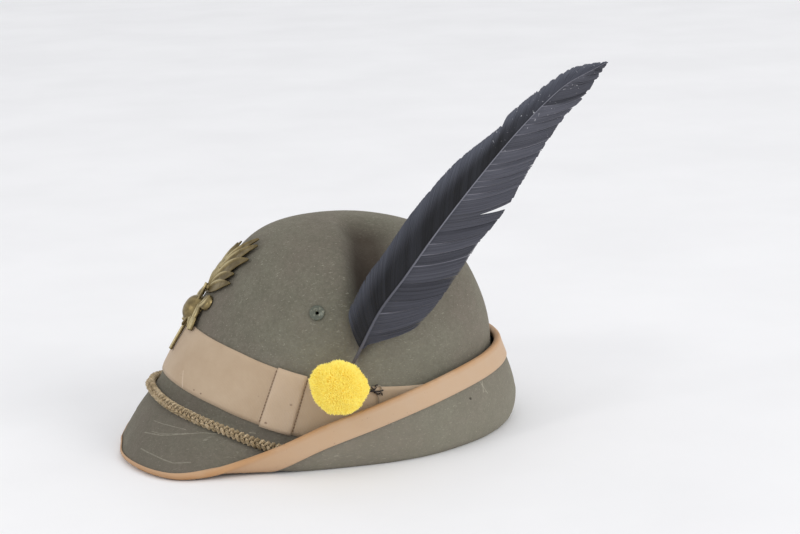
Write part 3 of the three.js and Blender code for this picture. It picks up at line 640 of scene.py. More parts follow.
# marks on the felt: places in direction and ring, offset from the felt's middle, half width, strength,
# and whether they are pale
feltMarks = [
    ([(18.8, 14.75), (27, 14.1), (35, 13.5)], 1.2, 0.4, 0.5, True),
    ([(35, 13.5), (41, 13.05), (47.5, 12.75)], 1.2, 0.36, 0.42, True),
    ([(19, 13.6), (25, 13.5), (35, 13.25)], 1.2, 0.34, 0.4, True),
    ([(22, 14.2), (29, 13.85), (37, 13.35)], 1.2, 0.3, 0.34, True),
    ([(22.5, 16.6), (30, 16.6), (37.5, 16.9), (42, 16.4)], 1.2, 0.55, 0.36, True),
    ([(55.5, 12.05), (57.5, 11.95)], 1.2, 0.4, 0.5, True),
    ([(130, 15.62), (130.2, 15.6)], -1.2, 1.1, 1.0, False),
    ([(136.2, 15.97), (138.8, 15.5)], -1.2, 0.4, 0.6, True),
    ([(137.5, 15.95), (136.8, 15.6)], -1.2, 0.4, 0.6, True),
]


def segmentMask(tree, spot, a, b, half):
    # 1 on the line between two places, 0 at its half width and beyond
    way = b - a
    gap = vectorMaths(tree, "SUBTRACT", {0: spot, 1: a})
    along = vectorMaths(tree, "DOT_PRODUCT", {0: gap, 1: way / max(way.length_squared, 1e-12)})
    share = maths(tree, "ADD", along, 0.0, clamp=True)
    foot = vectorMaths(tree, "SCALE", {0: way, "Scale": share})
    return spread(tree, vectorMaths(tree, "DISTANCE", {0: gap, 1: foot}), half / 2500, half / 1000, 1, 0)


def paintMarks(tree, spot, base, marks, paleTone, darkTone):
    rough = spread(tree, noise(tree, spot, 420, 3, 0.7), 0.35, 0.6, 0.35, 1)
    for path, offset, half, strength, pale in marks:
        rows = np.array(path, float)
        at = np.linspace(0, len(rows) - 1, 2 * len(rows) - 1)
        turns, heights = (np.interp(at, np.arange(len(rows)), rows[:, n]) for n in (0, 1))
        # the felt's ripple lifts the marks with it, but not those on the ribbon
        wave = ripple(overFelt(turns, heights)[0], *feltShape["wave"]) * (heights < 14.9) * (offset < 2)
        places = [Vector(place) for place in toFrame(overFelt(turns, heights, offset + wave)[0])]
        mask = segmentMask(tree, spot, places[0], places[1], half)
        for first, last in zip(places[1:-1], places[2:]):
            mask = maths(tree, "MAXIMUM", mask, segmentMask(tree, spot, first, last, half))
        base = layTone(tree, base, times(tree, mask, rough), strength, paleTone if pale else darkTone)
    return base


def feltMaterial():
    settings = {"Roughness": 0.93, "Specular IOR Level": 0.15, "Sheen Weight": 0.22, "Sheen Roughness": 0.45,
                "Sheen Tint": linearTone(176, 171, 156)}
    material, tree, shader, spot, _ = newMaterial("feltWool", settings)
    look = feltLook
    base = mixTones(tree, patches(tree, spot, 17, 4, 0.6, 0.38, 0.64), look["light"], look["brown"])
    base = paintPatches(tree, spot, base, [
        (95, 5, 0.65, 0.36, 0.72, 0.5, look["dark"]),
        (380, 4, 0.7, 0.42, 0.66, 0.42, look["dark"]),
        (look["grainScale"], 3, 0.7, 0.34, 0.7, 0.45, look["grain"]),
    ])
    for number, turn in enumerate(((0.4, 0.5, 0.3), (1.2, -0.4, 0.9), (-0.6, 0.2, 2.0))):
        names = {"Vector": spot, "Scale": (1.0, 0.24, 1.0), "Rotation": turn}
        stretch = addNode(tree, "ShaderNodeMapping", names).outputs[0]
        fibre = noise(tree, stretch, look["fibreScale"] * (1 + 0.3 * number), 2, 0.5, 0.8)
        base = layTone(tree, base, spread(tree, fibre, 0.66, 0.74), 0.42, look["pale"])
    # painted shade: the felt is darkened in the crease's hollow, by its depth
    base = layTone(tree, base, spread(tree, vertexTone(tree, "hollow"), 0.05, 0.7), 0.8, look["creaseShade"])
    _, back, up = splitVector(tree, spot)
    # painted light from below on the lower crown and at the fold's foot, and a browner peak: ranges of height and of
    # the way back
    for high, low, front, rear, strength, tone in ((0.1, 0.05, -0.07, -0.03, 0.13, look["pale"]),
                                                   (0.04, 0.0, -0.09, -0.05, 0.12, look["pale"]),
                                                   (0.05, 0.035, -0.085, -0.105, 0.3, look["peak"])):
        mask = times(tree, spread(tree, up, high, low), spread(tree, back, front, rear))
        base = layTone(tree, base, mask, strength, tone)
    base = paintMarks(tree, spot, base, feltMarks, look["pale"], look["spot"])
    setSocket(tree, shader, "Base Color", base)
    height = maths(tree, "ADD", noise(tree, spot, 820, 4, 0.7), times(tree, noise(tree, spot, 190, 4, 0.6), 1.8))
    addBump(tree, shader, height, 0.5, 0.0006)
    return material


eyeletShape = {
    "y": -14.9, "up": 92.2, "sides": 40, "hole": 2.1, "drillSides": 36, "drillLength": 14.0,
    # radius and height off the felt's middle
    "profile": [(0.95, -2.3), (2.4, -2.35), (3.3, -2.15), (3.4, -1.65), (1.8, -1.65), (1.8, 1.65), (4.5, 1.65),
                (4.75, 1.8), (4.75, 2.1), (4.5, 2.4), (4.0, 2.5), (3.3, 2.3), (2.4, 1.95), (1.7, 1.85), (1.25, 1.7),
                (0.95, 1.2)],
}


def drillFelt(piece, spot, out):
    # holes for the eyelets' barrels on both sides of the crown
    work = bmesh.new()
    for flip in (1, -1):
        side = np.array([flip, 1, 1])
        turn = Vector(out * side).to_track_quat("Z", "Y").to_matrix().to_4x4()
        place = Matrix.Translation(Vector(toFrame((spot * side)[None])[0])) @ turn
        radius = eyeletShape["hole"] / 1000
        bmesh.ops.create_cone(work, cap_ends=True, segments=eyeletShape["drillSides"], radius1=radius, radius2=radius,
                              depth=eyeletShape["drillLength"] / 1000, matrix=place)
    data = bpy.data.meshes.new("feltDrill")
    work.to_mesh(data)
    work.free()
    drill = makeObject("feltDrill", data)
    change = piece.modifiers.new("drill", "BOOLEAN")
    change.operation, change.solver, change.object = "DIFFERENCE", "EXACT", drill
    mesh = bakeNodes(piece)
    bpy.data.objects.remove(drill)
    return makeObject("feltHat", mesh)


leftEyelet = leftFace(eyeletShape["y"], eyeletShape["up"])
felt = drillFelt(makeObject("feltHat", buildFelt(), feltMaterial()), *leftEyelet)
finishPiece(felt, ["felt_body"])

# ---- leather binding on the brim's edge
bindingShape = {"thickness": 0.75, "gap": 0.3, "corner": 5, "reach": 1.3, "narrowFrom": 48.0, "narrowTo": 66.0,
                "narrowMiddle": 350.0, "hiddenMiddle": 322.0, "hiddenFrom": 30.0, "hiddenTo": 40.0, "hiddenThin": 0.85,
                "lipRing": 18.0, "lipNarrow": 0.8,
                # ring and depth under the fold's inner leg; share of the way to the edge and depth at the lip
                "hem": ((16.06, 0.3), (16.0, 0.62)), "lip": ((0.6, 0), (0.2, 0), (0.03, 0.08), (0, 0.4))}


def turnsFrom(direction, middle):
    return np.abs(np.mod(direction - middle + 180, 360) - 180)


def buildBinding():
    s = bindingShape
    half = feltShape["thickness"] / 2
    near, far = half + s["gap"], half + s["gap"] + s["thickness"]
    edge, out = net[:, -1], normals[:, -1]
    across = unit(edge - net[:, -2])
    legs = np.linspace(16, 19, 10)

    def off(ring, offset):
        return overFelt(directions, ring, offset)[0]

    rows = [off(ring, -near - deep) for ring, deep in s["hem"]]
    rows += [off(ring + 0.03, -far) for ring in legs[:-1]]
    # thin where the peak's far side hides it
    hidden = (1 - smoothStep(turnsFrom(directions, s["hiddenMiddle"]), s["hiddenFrom"], s["hiddenTo"]))[:, None]
    top = far - s["hiddenThin"] * hidden
    for n in range(s["corner"] + 1):
        turn = math.pi * (n / s["corner"] - 0.5)
        rise = (math.sin(turn) * (far + top) + top - far) / 2
        rows.append(edge + out * rise + across * (0.1 + math.cos(turn) * s["reach"] * (1 - 0.6 * hidden)))
    top = top[:, 0]
    # the upper leg is narrow round the peak and on its far side
    narrow = 1 - smoothStep(turnsFrom(directions, s["narrowMiddle"]), s["narrowFrom"], s["narrowTo"])
    lip = s["lipRing"] + s["lipNarrow"] * narrow
    rows += [off(lip + (19 - lip) * share, top - drop) for share, drop in s["lip"]]
    rows += [off(lip + (19 - lip) * 0.05, np.minimum(near, top - 0.15))]
    rows += [edge + out * near + across * 0.2, edge - out * near + across * 0.2]
    rows += [off(ring, -near) for ring in legs[::-1][1:]]
    sections = np.stack(rows, 1)
    # the leather under the fold lies on the table, with its thickness below its inner face
    sections[..., 2] = np.maximum(sections[..., 2], 0.0)
    inner = slice(len(legs) + s["corner"] + 6, None)
    sections[:, inner, 2] = np.maximum(sections[:, inner, 2], s["thickness"])
    return ringedMesh("leatherBinding", sections, ringLengths(edge))


def leatherMaterial():
    settings = {"Roughness": 0.62, "Specular IOR Level": 0.35}
    material, tree, shader, spot, sheet = newMaterial("bindingLeather", settings)
    # orange-brown on the peak, pinkish tan towards the back
    peak = spread(tree, splitVector(tree, spot)[1], -0.11, -0.02)
    base = mixTones(tree, peak, linearTone(182, 147, 114), linearTone(188, 161, 134))
    # worn where the strip turns over the felt's edge
    fromEdge = maths(tree, "ABSOLUTE", maths(tree, "SUBTRACT", splitVector(tree, sheet)[1], 0.0152))
    wear = times(tree, spread(tree, fromEdge, 0.0008, 0.0042, 1, 0), patches(tree, spot, 38, 4, 0.55, 0.28, 0.5))
    base = layTone(tree, base, wear, 0.85, linearTone(178, 134, 90))
    base = paintPatches(tree, spot, base, [
        (70, 5, 0.55, 0.35, 0.7, 0.3, linearTone(190, 156, 122)),
        (520, 2, 0.55, 0.72, 0.78, 0.5, linearTone(120, 84, 60)),
    ])
    setSocket(tree, shader, "Base Color", base)
    names = {"Vector": spot, "Scale": 1100.0}
    grain = addNode(tree, "ShaderNodeTexVoronoi", names, feature="DISTANCE_TO_EDGE").outputs["Distance"]
    addBump(tree, shader, grain, 0.18, 0.0003)
    addBump(tree, shader, noise(tree, spot, 90, 4), 0.25, 0.0008)
    return material


binding = makeObject("leatherBinding", buildBinding(), leatherMaterial())
finishPiece(binding, ["edge_binding"])

# ---- ribbon band and its flat knot
bandShape = {"offset": 1.6, "thickness": 0.9, "rib": 0.0009, "flareFrom": 72.0, "flareTo": 104.0, "flare": 1.1}
knotShape = {"start": 58.0, "end": 69.0, "seat": 0.35, "thickness": 1.3, "steps": 22}


def bandSections(around, inner, outer, low, high, flare=None):
    # the inner face from low to high, then the outer face back, rounded at both rims
    steps = np.linspace(0, 1, 15)
    rows = [overFelt(around, low + (high - low) * share, inner)[0] for share in steps]
    for share in steps[::-1]:
        ring = low + (high - low) * share
        rim = min(share, 1 - share) * (abs(high - low) / 3) * feltShape["bandHeight"]
        drop = 0.35 * max(0.0, 1 - rim / 1.2) ** 2
        swell = 0.0 if flare is None else flare * max(0.0, (share - 0.9) / 0.1) ** 2
        rows.append(overFelt(around, ring, outer - drop + swell)[0])
    return np.stack(rows, 1)


def buildBand():
    s = bandShape
    opens = smoothStep(directions, s["flareFrom"], s["flareFrom"] + 6)
    flare = s["flare"] * opens * (1 - smoothStep(directions, s["flareTo"] - 12, s["flareTo"]))
    sections = bandSections(directions, s["offset"], s["offset"] + s["thickness"], 11.0, 8.0, flare)
    return ringedMesh("ribbonBand", sections, ringLengths(net[:, np.searchsorted(rings, 9.5)]))


def buildKnot():
    s = knotShape
    inner = bandShape["offset"] + bandShape["thickness"] + s["seat"]
    around = np.linspace(s["start"], s["end"], s["steps"])
    share = np.linspace(-1, 1, s["steps"])
    rounded = np.sqrt(np.maximum(0, 1 - np.abs(share) ** 7))
    outer = inner + 0.25 + (s["thickness"] - 0.25) * rounded
    sections = bandSections(around, inner, outer, 11.06, 7.94)
    return ringedMesh("ribbonKnot", sections, runLengths(overFelt(around, 9.5, 3)[0]) / 1000, closedRound=False)


ribbonMarks = [
    ([(18.8, 10.2), (22.5, 10.95)], 2.5, 0.6, 0.55, True),
    ([(28.8, 10.75), (29, 10.75)], 2.5, 0.7, 0.8, False),
    ([(32.5, 10.75), (32.7, 10.75)], 2.5, 0.7, 0.8, False),
    ([(66.2, 9.5), (66.4, 9.5)], 3.9, 0.9, 0.8, False),
    ([(59.9, 10.75), (60.1, 10.75)], 3.9, 0.9, 0.8, False),
]


def ribbonMaterial(name, light, dark):
    settings = {"Roughness": 0.7, "Specular IOR Level": 0.3, "Sheen Weight": 0.15, "Sheen Roughness": 0.5}
    material, tree, shader, spot, sheet = newMaterial(name, settings)
    base = mixTones(tree, patches(tree, spot, 30, 5, 0.6, 0.32, 0.7), light, dark)
    base = paintPatches(tree, spot, base, [(330, 2, 0.55, 0.74, 0.79, 0.4, linearTone(96, 72, 56))])
    along = splitVector(tree, sheet)[0]
    wave = maths(tree, "SINE", times(tree, along, 2 * math.pi / bandShape["rib"]))
    base = layTone(tree, base, spread(tree, wave, -1, 1), 0.1, linearTone(130, 108, 88))
    base = paintMarks(tree, spot, base, ribbonMarks, linearTone(222, 206, 184), linearTone(92, 62, 48))
    setSocket(tree, shader, "Base Color", base)
    addBump(tree, shader, wave, 0.16, 0.0002)
    addBump(tree, shader, noise(tree, spot, 60, 3), 0.2, 0.0008)
    return material


ribbonTone = ribbonMaterial("ribbonWeave", linearTone(188, 167, 142), linearTone(174, 151, 125))
knotTone = ribbonMaterial("knotWeave", linearTone(199, 178, 154), linearTone(188, 165, 139))
band = makeObject("ribbonBand", buildBand(), ribbonTone)
finishPiece(band, ["hat_band"])
knot = makeObject("ribbonKnot", buildKnot(), knotTone)
finishPiece(knot, ["band_knot"])

# ---- braided cord
cordShape = {"strands": 3, "threads": 6, "pitch": 10.4, "halfWidth": 2.2, "halfDepth": 1.5,
             "spread": 0.95, "threadRadius": 0.34, "twist": 2.1, "step": 1.0, "seat": 4.2}
# direction, way out of the crown's foot and height of the cord's middle
cordRows = np.array([(0, 5.9, 36.6), (28, 7.2, 31.2), (48, 7.9, 23), (62, 7.6, 14.6), (80, 7.0, 8.8),
                     (110, 8, 7), (180, 9, 7)])


def cordLine(count):
    direction = np.arange(count) * 360 / count
    folded = np.where(direction > 180, 360 - direction, direction)
    rows = readRows(cordRows, folded)
    root = readBrim(direction)[:, 1]
    points = outsidePoints(direction, rows[:, 0], rows[:, 1], root)
    samples = net.reshape(-1, 3)
    seat = cordShape["seat"]
    # pushed out of the felt everywhere, and drawn to it along the peak's narrow side
    for k in range(count):
        for _ in range(12):
            away = points[k] - samples
            far = np.linalg.norm(away, axis=1)
            n = far.argmin()
            if far[n] < seat or 275 < direction[k] < 358:
                points[k] += away[n] / far[n] * (seat - far[n]) * (1.0 if far[n] < seat else 0.5)
    return smoothRing(points, 5, 2.2)


def braidTree():
    tree, given, end = newTree("braidTree", "Pitch HalfWidth HalfDepth Spread ThreadRadius Twist", "Strands Threads")
    amount = times(tree, given["Strands"], given["Threads"])
    curve = shapeNode(tree, "MeshToCurve", {0: given["Geometry"]})
    names = {"Geometry": curve, "Amount": amount}
    copies = addNode(tree, "GeometryNodeDuplicateElements", names, domain="SPLINE")
    number = copies.outputs["Duplicate Index"]
    strand = maths(tree, "MODULO", number, given["Strands"])
    thread = maths(tree, "FLOOR", maths(tree, "DIVIDE", number, given["Strands"]))
    length = addNode(tree, "GeometryNodeSplineParameter").outputs["Length"]
    turns = maths(tree, "DIVIDE", length, given["Pitch"])
    # the strands weave in a flat figure of eight, and each strand's threads twist about its middle
    share = maths(tree, "ADD", turns, maths(tree, "DIVIDE", strand, given["Strands"]))
    phase = times(tree, share, 2 * math.pi)
    spin = maths(tree, "ADD", times(tree, maths(tree, "DIVIDE", thread, given["Threads"]), 2 * math.pi),
                 times(tree, times(tree, turns, given["Twist"]), 2 * math.pi))
    sideways = maths(tree, "ADD", times(tree, maths(tree, "SINE", phase), given["HalfWidth"]),
                     times(tree, maths(tree, "COSINE", spin), given["Spread"]))
    depth = maths(tree, "ADD", times(tree, maths(tree, "SINE", times(tree, phase, 2.0)), given["HalfDepth"]),
                  times(tree, maths(tree, "SINE", spin), given["Spread"]))
    out = pointData(tree, "outward")
    beside = vectorMaths(tree, "CROSS_PRODUCT", {0: shapeNode(tree, "InputTangent"), 1: out})
    first = vectorMaths(tree, "SCALE", {0: beside, "Scale": sideways})
    second = vectorMaths(tree, "SCALE", {0: out, "Scale": depth})
    offset = vectorMaths(tree, "ADD", {0: first, 1: second})
    names = {2: 0.0, 3: 1.0, "ID": number, "Seed": 5}
    tone = addNode(tree, "FunctionNodeRandomValue", names, data_type="FLOAT").outputs[1]
    toned = storePoint(tree, copies.outputs["Geometry"], "thread", tone)
    moved = shapeNode(tree, "SetPosition", {"Geometry": toned, "Offset": offset})
    circle = shapeNode(tree, "CurvePrimitiveCircle", {"Resolution": 6, "Radius": given["ThreadRadius"]})
    return endTree(tree, given, end, shapeNode(tree, "CurveToMesh", {"Curve": moved, "Profile Curve": circle}))


def cordMaterial():
    settings = {"Roughness": 0.75, "Specular IOR Level": 0.3, "Sheen Weight": 0.2, "Sheen Roughness": 0.4}
    material, tree, shader, spot, _ = newMaterial("cordGimp", settings)
    tint = patches(tree, spot, 120, 4, 0.55, 0.35, 0.65)
    base = mixTones(tree, tint, linearTone(214, 194, 162), linearTone(172, 150, 116))
    thread = spread(tree, vertexTone(tree, "thread"), 0.3, 0.9)
    base = layTone(tree, base, thread, 0.7, linearTone(112, 98, 74))
    base = paintPatches(tree, spot, base, [(700, 2, 0.55, 0.5, 0.75, 0.5, linearTone(138, 124, 86))])
    setSocket(tree, shader, "Base Color", base)
    addBump(tree, shader, noise(tree, spot, 2200, 2), 0.4, 0.0003)
    return material


def buildCord():
    line = cordLine(360)
    closed = np.vstack([line, line[:1]])
    lengths = runLengths(closed)
    total = lengths[-1]
    count = int(total / cordShape["step"])
    at = np.arange(count) * total / count
    points = np.stack([np.interp(at, lengths, closed[:, axis]) for axis in range(3)], 1)
    # the way out of the felt nearest to each place, smoothed and set square to the cord; the crown's top is left out
    samples = net[:, 60:].reshape(-1, 3)
    outs = []
    for point in points:
        away = point - samples
        outs.append(unit(away[np.linalg.norm(away, axis=1).argmin()]))
    outs = smoothRing(np.array(outs), 12, 5.0)
    tangents = unit(np.roll(points, -1, 0) - np.roll(points, 1, 0))
    outs = unit(outs - tangents * (outs * tangents).sum(1)[:, None])
    return chainObject("cordPath", [points], {"outward": outs}, cyclic=True), total


def chainObject(name, chains, attributes, cyclic=False):
    # a mesh of bare edges, one chain each, with attributes on its points; the trees turn it into curves
    points = np.concatenate(chains)
    edges, first = [], 0
    for chain in chains:
        last = first + len(chain)
        edges += [(n, n + 1) for n in range(first, last - 1)]
        if cyclic:
            edges.append((last - 1, first))
        first = last
    data = bpy.data.meshes.new(name)
    data.from_pydata(toFrame(points).tolist(), edges, [])
    for key, values in attributes.items():
        pointValues(data, key, values)
    return makeObject(name, data)


cordTone = cordMaterial()
cordPath, cordLength = buildCord()
pitchCount = round(cordLength / cordShape["pitch"])
applyTree(cordPath, braidTree(), {
    "Strands": cordShape["strands"], "Threads": cordShape["threads"], "Pitch": cordLength / pitchCount / 1000,
    "Twist": round(pitchCount * cordShape["twist"]) / pitchCount, "Material": cordTone,
    **{name: cordShape[name[0].lower() + name[1:]] / 1000 for name in ("HalfWidth", "HalfDepth", "Spread", "ThreadRadius")},
})
cord = makeObject("braidedCord", bakeNodes(cordPath))
finishPiece(cord, ["braided_cord"])


# ---- eyelets
def latheParts(profile, sides, place, out):
    axis = Vector(out).normalized()
    turn = axis.to_track_quat("Z", "Y").to_matrix()
    points, faces = [], []
    size = len(profile)
    for s in range(sides):
        angle = 2 * math.pi * s / sides
        for radius, height in profile:
            point = Vector((radius * math.cos(angle), radius * math.sin(angle), height))
            points.append(np.array(turn @ point) + place)
        for n in range(size):
            m = (n + 1) % size
            t = (s + 1) % sides
            faces.append((s * size + n, s * size + m, t * size + m, t * size + n))
    return np.array(points), faces


def joinParts(name, parts):
    points, faces, tones, first = [], [], [], 0
    for partPoints, partFaces, *partTones in parts:
        points.append(np.asarray(partPoints))
        faces += [tuple(v + first for v in face) for face in partFaces]
        tones += list(partTones[0]) if partTones else [0.4] * len(partPoints)
        first += len(partPoints)
    mesh = makeMesh(name, np.concatenate(points), faces)
    turnOutwards(mesh)
    pointValues(mesh, "rimHighlightAndPatina", tones)
    return mesh


def paintedMaterial():
    settings = {"Roughness": 0.34, "Specular IOR Level": 0.6, "Metallic": 0.35}
    material, tree, shader, spot, _ = newMaterial("eyeletPaint", settings)
    chips = patches(tree, spot, 700, 3, 0.55, 0.55, 0.66)
    setSocket(tree, shader, "Base Color", mixTones(tree, chips, linearTone(86, 90, 79), linearTone(128, 128, 114)))
    addBump(tree, shader, noise(tree, spot, 500, 2), 0.2, 0.0003)
    return material


eyeletTone = paintedMaterial()
for name, nodeName, flip in (("eyeletLeft", "eyelet_left", 1), ("eyeletRight", "eyelet_right", -1)):
    side = np.array([flip, 1, 1])
    place, out = (part * side for part in leftEyelet)
    mesh = joinParts(name, [latheParts(eyeletShape["profile"], eyeletShape["sides"], place, out)])
    finishPiece(makeObject(name, mesh, eyeletTone), [nodeName])


# ---- pompom
pompomShape = {
    "centre": (104.0, -10.3, 54.4), "radius": 14.3, "fibres": 21000, "fibreLength": 3.0, "fibreRadius": 0.3, "seed": 4,
    "lumps": 1.0, "lumpSize": 8.0, "lean": 0.95,
}


def pompomCore():
    s = pompomShape
    work = bmesh.new()
    bmesh.ops.create_icosphere(work, subdivisions=5, radius=1.0)
    points = np.array([v.co[:] for v in work.verts])
    radius = s["radius"] + ripple(points * s["radius"], s["lumps"], s["lumpSize"] * 1.6, 11)
    # a little flatter below and towards the front
    radius *= 1 - 0.05 * smoothStep(-points[:, 2] - 0.5 * points[:, 1], 0.6, 1.1) + 0.015 * points[:, 2]
    placed = toFrame(points * radius[:, None] + np.array(s["centre"]))
    for vertex, place in zip(work.verts, placed):
        vertex.co = place
    mesh = bpy.data.meshes.new("pompomCore")
    work.to_mesh(mesh)
    work.free()
    mesh.polygons.foreach_set("use_smooth", [True] * len(mesh.polygons))
    return makeObject("pompomCore", mesh)


def pompomTree():
    tree, given, end = newTree("pompomTree", "Fibres FibreLength FibreRadius Lean", "Seed")
    names = {"Mesh": given["Geometry"], "Density": given["Fibres"], "Seed": given["Seed"]}
    spots = addNode(tree, "GeometryNodeDistributePointsOnFaces", names)
    names = {"Vertices": 3, "Radius Top": 0.4, "Radius Bottom": 1.0, "Depth": 1.0}
    cone = shapeNode(tree, "MeshCone", names)
    marked = storePoint(tree, cone, "tip", splitVector(tree, shapeNode(tree, "InputPosition"))[2])
    size = joinVector(tree, given["FibreRadius"], given["FibreRadius"], given["FibreLength"])
    shaped = shapeNode(tree, "Transform", {"Geometry": marked, "Scale": size})
    back = times(tree, given["Lean"], -1.0)
    least, most = joinVector(tree, back, back, -3.0), joinVector(tree, given["Lean"], given["Lean"], 3.0)
    names = {0: least, 1: most, "Seed": given["Seed"]}
    lean = addNode(tree, "FunctionNodeRandomValue", names, data_type="FLOAT_VECTOR").outputs[0]
    names = {"Rotation": spots.outputs["Rotation"], "Rotate By": lean}
    turned = addNode(tree, "FunctionNodeRotateEuler", names, space="LOCAL").outputs[0]
    names = {2: 0.65, 3: 1.15, "Seed": maths(tree, "ADD", given["Seed"], 1.0)}
    grown = addNode(tree, "FunctionNodeRandomValue", names, data_type="FLOAT").outputs[1]
    names = {"Points": spots.outputs[0], "Instance": shaped, "Rotation": turned, "Scale": grown}
    copies = shapeNode(tree, "InstanceOnPoints", names)
    both = addNode(tree, "GeometryNodeJoinGeometry")
    tree.links.new(copies, both.inputs[0])
    tree.links.new(given["Geometry"], both.inputs[0])
    return endTree(tree, given, end, both.outputs[0])


def woolMaterial():
    # the emission is painted light, a glow that brightens the wool
    settings = {"Roughness": 0.85, "Specular IOR Level": 0.15, "Sheen Weight": 0.55, "Sheen Roughness": 0.5,
                "Sheen Tint": linearTone(255, 235, 150), "Emission Color": linearTone(255, 215, 50),
                "Emission Strength": 0.07}
    material, tree, shader, spot, _ = newMaterial("pompomWool", settings)
    # painted shade: the fibres are darker towards their roots, paler at their tips
    tip = spread(tree, vertexTone(tree, "tip"), 0.15, 0.8)
    base = mixTones(tree, tip, linearTone(255, 232, 96), linearTone(255, 246, 144))
    base = paintPatches(tree, spot, base, [(260, 3, 0.55, 0.35, 0.7, 0.3, linearTone(255, 228, 108))])
    # dark specks on the lower side
    low = spread(tree, splitVector(tree, spot)[2], 0.036, 0.046, 1, 0)
    lowSpecks = times(tree, low, patches(tree, spot, 700, 3, 0.7, 0.58, 0.64))
    setSocket(tree, shader, "Base Color", layTone(tree, base, lowSpecks, 0.7, linearTone(96, 88, 40)))
    return material


ball = pompomCore()
ballArea = 4 * math.pi * (pompomShape["radius"] / 1000) ** 2
applyTree(ball, pompomTree(), {
    "Fibres": pompomShape["fibres"] / ballArea, "FibreLength": pompomShape["fibreLength"] / 1000,
    "FibreRadius": pompomShape["fibreRadius"] / 1000, "Lean": pompomShape["lean"], "Seed": pompomShape["seed"],
    "Material": woolMaterial(),
})
pompom = makeObject("woolPompom", bakeNodes(ball))
finishPiece(pompom, ["pompom"])


# ---- plume: quill, rachis and barbs
plumeShape = {
    "plane": 87.6, "lean": 0.035, "foot": 47.0, "vaneFrom": 0.115, "rachisSteps": 900,
    "barbs": 340, "barbWidth": 0.37, "barbThick": 0.07, "steps": 11, "seed": 21,
    "splitAt": 0.407, "splitOpen": 2.6, "splitFrom": 0.4, "sag": 0.045, "gather": 0.045, "bow": 0.0025,
    "beyondEdge": 0.9, "notchWidth": 0.009,
}
# way back and height of the rachis and of the vanes' outlines, seen from the wearer's left
rachisRows = np.array([
    (-8, 47), (-4.7, 53.4), (0.9, 62.4), (5, 69.5), (19.5, 95.4), (35.4, 115.0), (53.0, 137.7), (71.6, 160.1),
    (94.9, 186.4), (109.9, 202.0), (126.7, 217.5), (139.2, 226.9), (153.7, 233.7), (164.3, 238.3)])
leftEdgeRows = np.array([
    (5.5, 70), (3.9, 75.5), (1.8, 84.9), (1.5, 94.8), (6.1, 104.3), (13.8, 117.2), (25.2, 131), (41.1, 151.7),
    (53, 165.4), (70.6, 182.9), (99.3, 204.4), (101.8, 208.4), (131.5, 229.9), (141.6, 235.2), (152.4, 237.5),
    (164.3, 238.3)])
rightEdgeRows = np.array([
    (5, 69), (7.7, 72), (10.3, 74.6), (25, 77.6), (41.2, 81.7), (48.9, 88.4), (55.2, 94.8), (62.9, 105.4),
    (74.4, 120.6), (80.8, 130), (93.5, 143.8), (101.2, 153.1), (107.5, 163.6), (115.1, 175.3), (125.2, 190.4),
    (139.1, 208.3), (148.6, 216.7), (151.7, 220.7), (164.3, 238.3)])
# share of the way along the rachis, angle of the barbs to it on the left and on the right
barbRows = np.array([(0, 44, 56), (0.08, 33, 52), (0.3, 26, 45), (0.6, 24, 38), (0.85, 18, 27), (1, 9, 12)])
# the left vane is narrow, tilted and worn, the right one wide and split; clump is the largest number of barbs that lean
# together, and the notches are share of the way along and depth
vaneShapes = [
    {"side": -1, "outline": leftEdgeRows, "tilt": 0.24, "clump": 12, "pull": 1.9, "lean": 0.12, "lift": 0.12,
     "ragged": 0.1, "roll": 0.4, "notches": [(0.3, 0.8), (0.425, 0.9), (0.605, 1.6), (0.66, 1.0), (0.74, 2.2),
                                             (0.765, 1.2), (0.8, 2.0), (0.83, 1.2)]},
    {"side": 1, "outline": rightEdgeRows, "tilt": 0.05, "clump": 22, "pull": 0.6, "lean": 1.0, "lift": 0.8,
     "ragged": 0.02, "roll": 1.0, "notches": [(0.3, 0.7), (0.52, 0.8), (0.62, 0.9), (0.715, 1.0), (0.78, 2.0),
                                              (0.8, 1.0)]},
]


def alongLine(rows, count):
    closed = splineRows(np.concatenate([2 * rows[:1] - rows[1:2], rows])[None], 12)[0]
    steps = runLengths(closed)
    at = np.linspace(0, steps[-1], count)
    return np.stack([np.interp(at, steps, closed[:, axis]) for axis in range(closed.shape[1])], 1)


def rayToOutline(start, way, outline):
    # how far it is to the outline, or None
    edge = np.diff(outline, axis=0)
    gap = outline[:-1] - start
    cross = way[0] * edge[:, 1] - way[1] * edge[:, 0]
    with np.errstate(divide="ignore", invalid="ignore"):
        far = (gap[:, 0] * edge[:, 1] - gap[:, 1] * edge[:, 0]) / cross
        share = (gap[:, 0] * way[1] - gap[:, 1] * way[0]) / cross
    good = (far > 0.2) & (share >= 0) & (share <= 1)
    return far[good].min() if good.any() else None


def newClump(generator, vane, share):
    nearTip = smoothStep(share, 0.5, 0.85) * vane["pull"]
    size = int(generator.integers(3, vane["clump"]))
    return {"size": size, "left": size, "pull": generator.uniform(-0.2, 1.0) * (0.35 + 1.5 * nearTip),
            "tone": generator.uniform(0, 1), "tilt": generator.uniform(-0.5, 0.5) * vane["lean"]}


def barbReach(generator, vane, far, pull, share):
    reach = far + plumeShape["beyondEdge"] - pull - generator.uniform(0, 0.2)
    if generator.random() < (vane["ragged"] if 0.6 < share < 0.93 else 0.02):
        reach -= generator.uniform(0.4, 1.5) * (1 + 1.2 * smoothStep(share, 0.6, 0.9))
    for place, deep in vane["notches"]:
        reach -= deep * max(0.0, 1 - abs(share - place) / plumeShape["notchWidth"])
    return reach


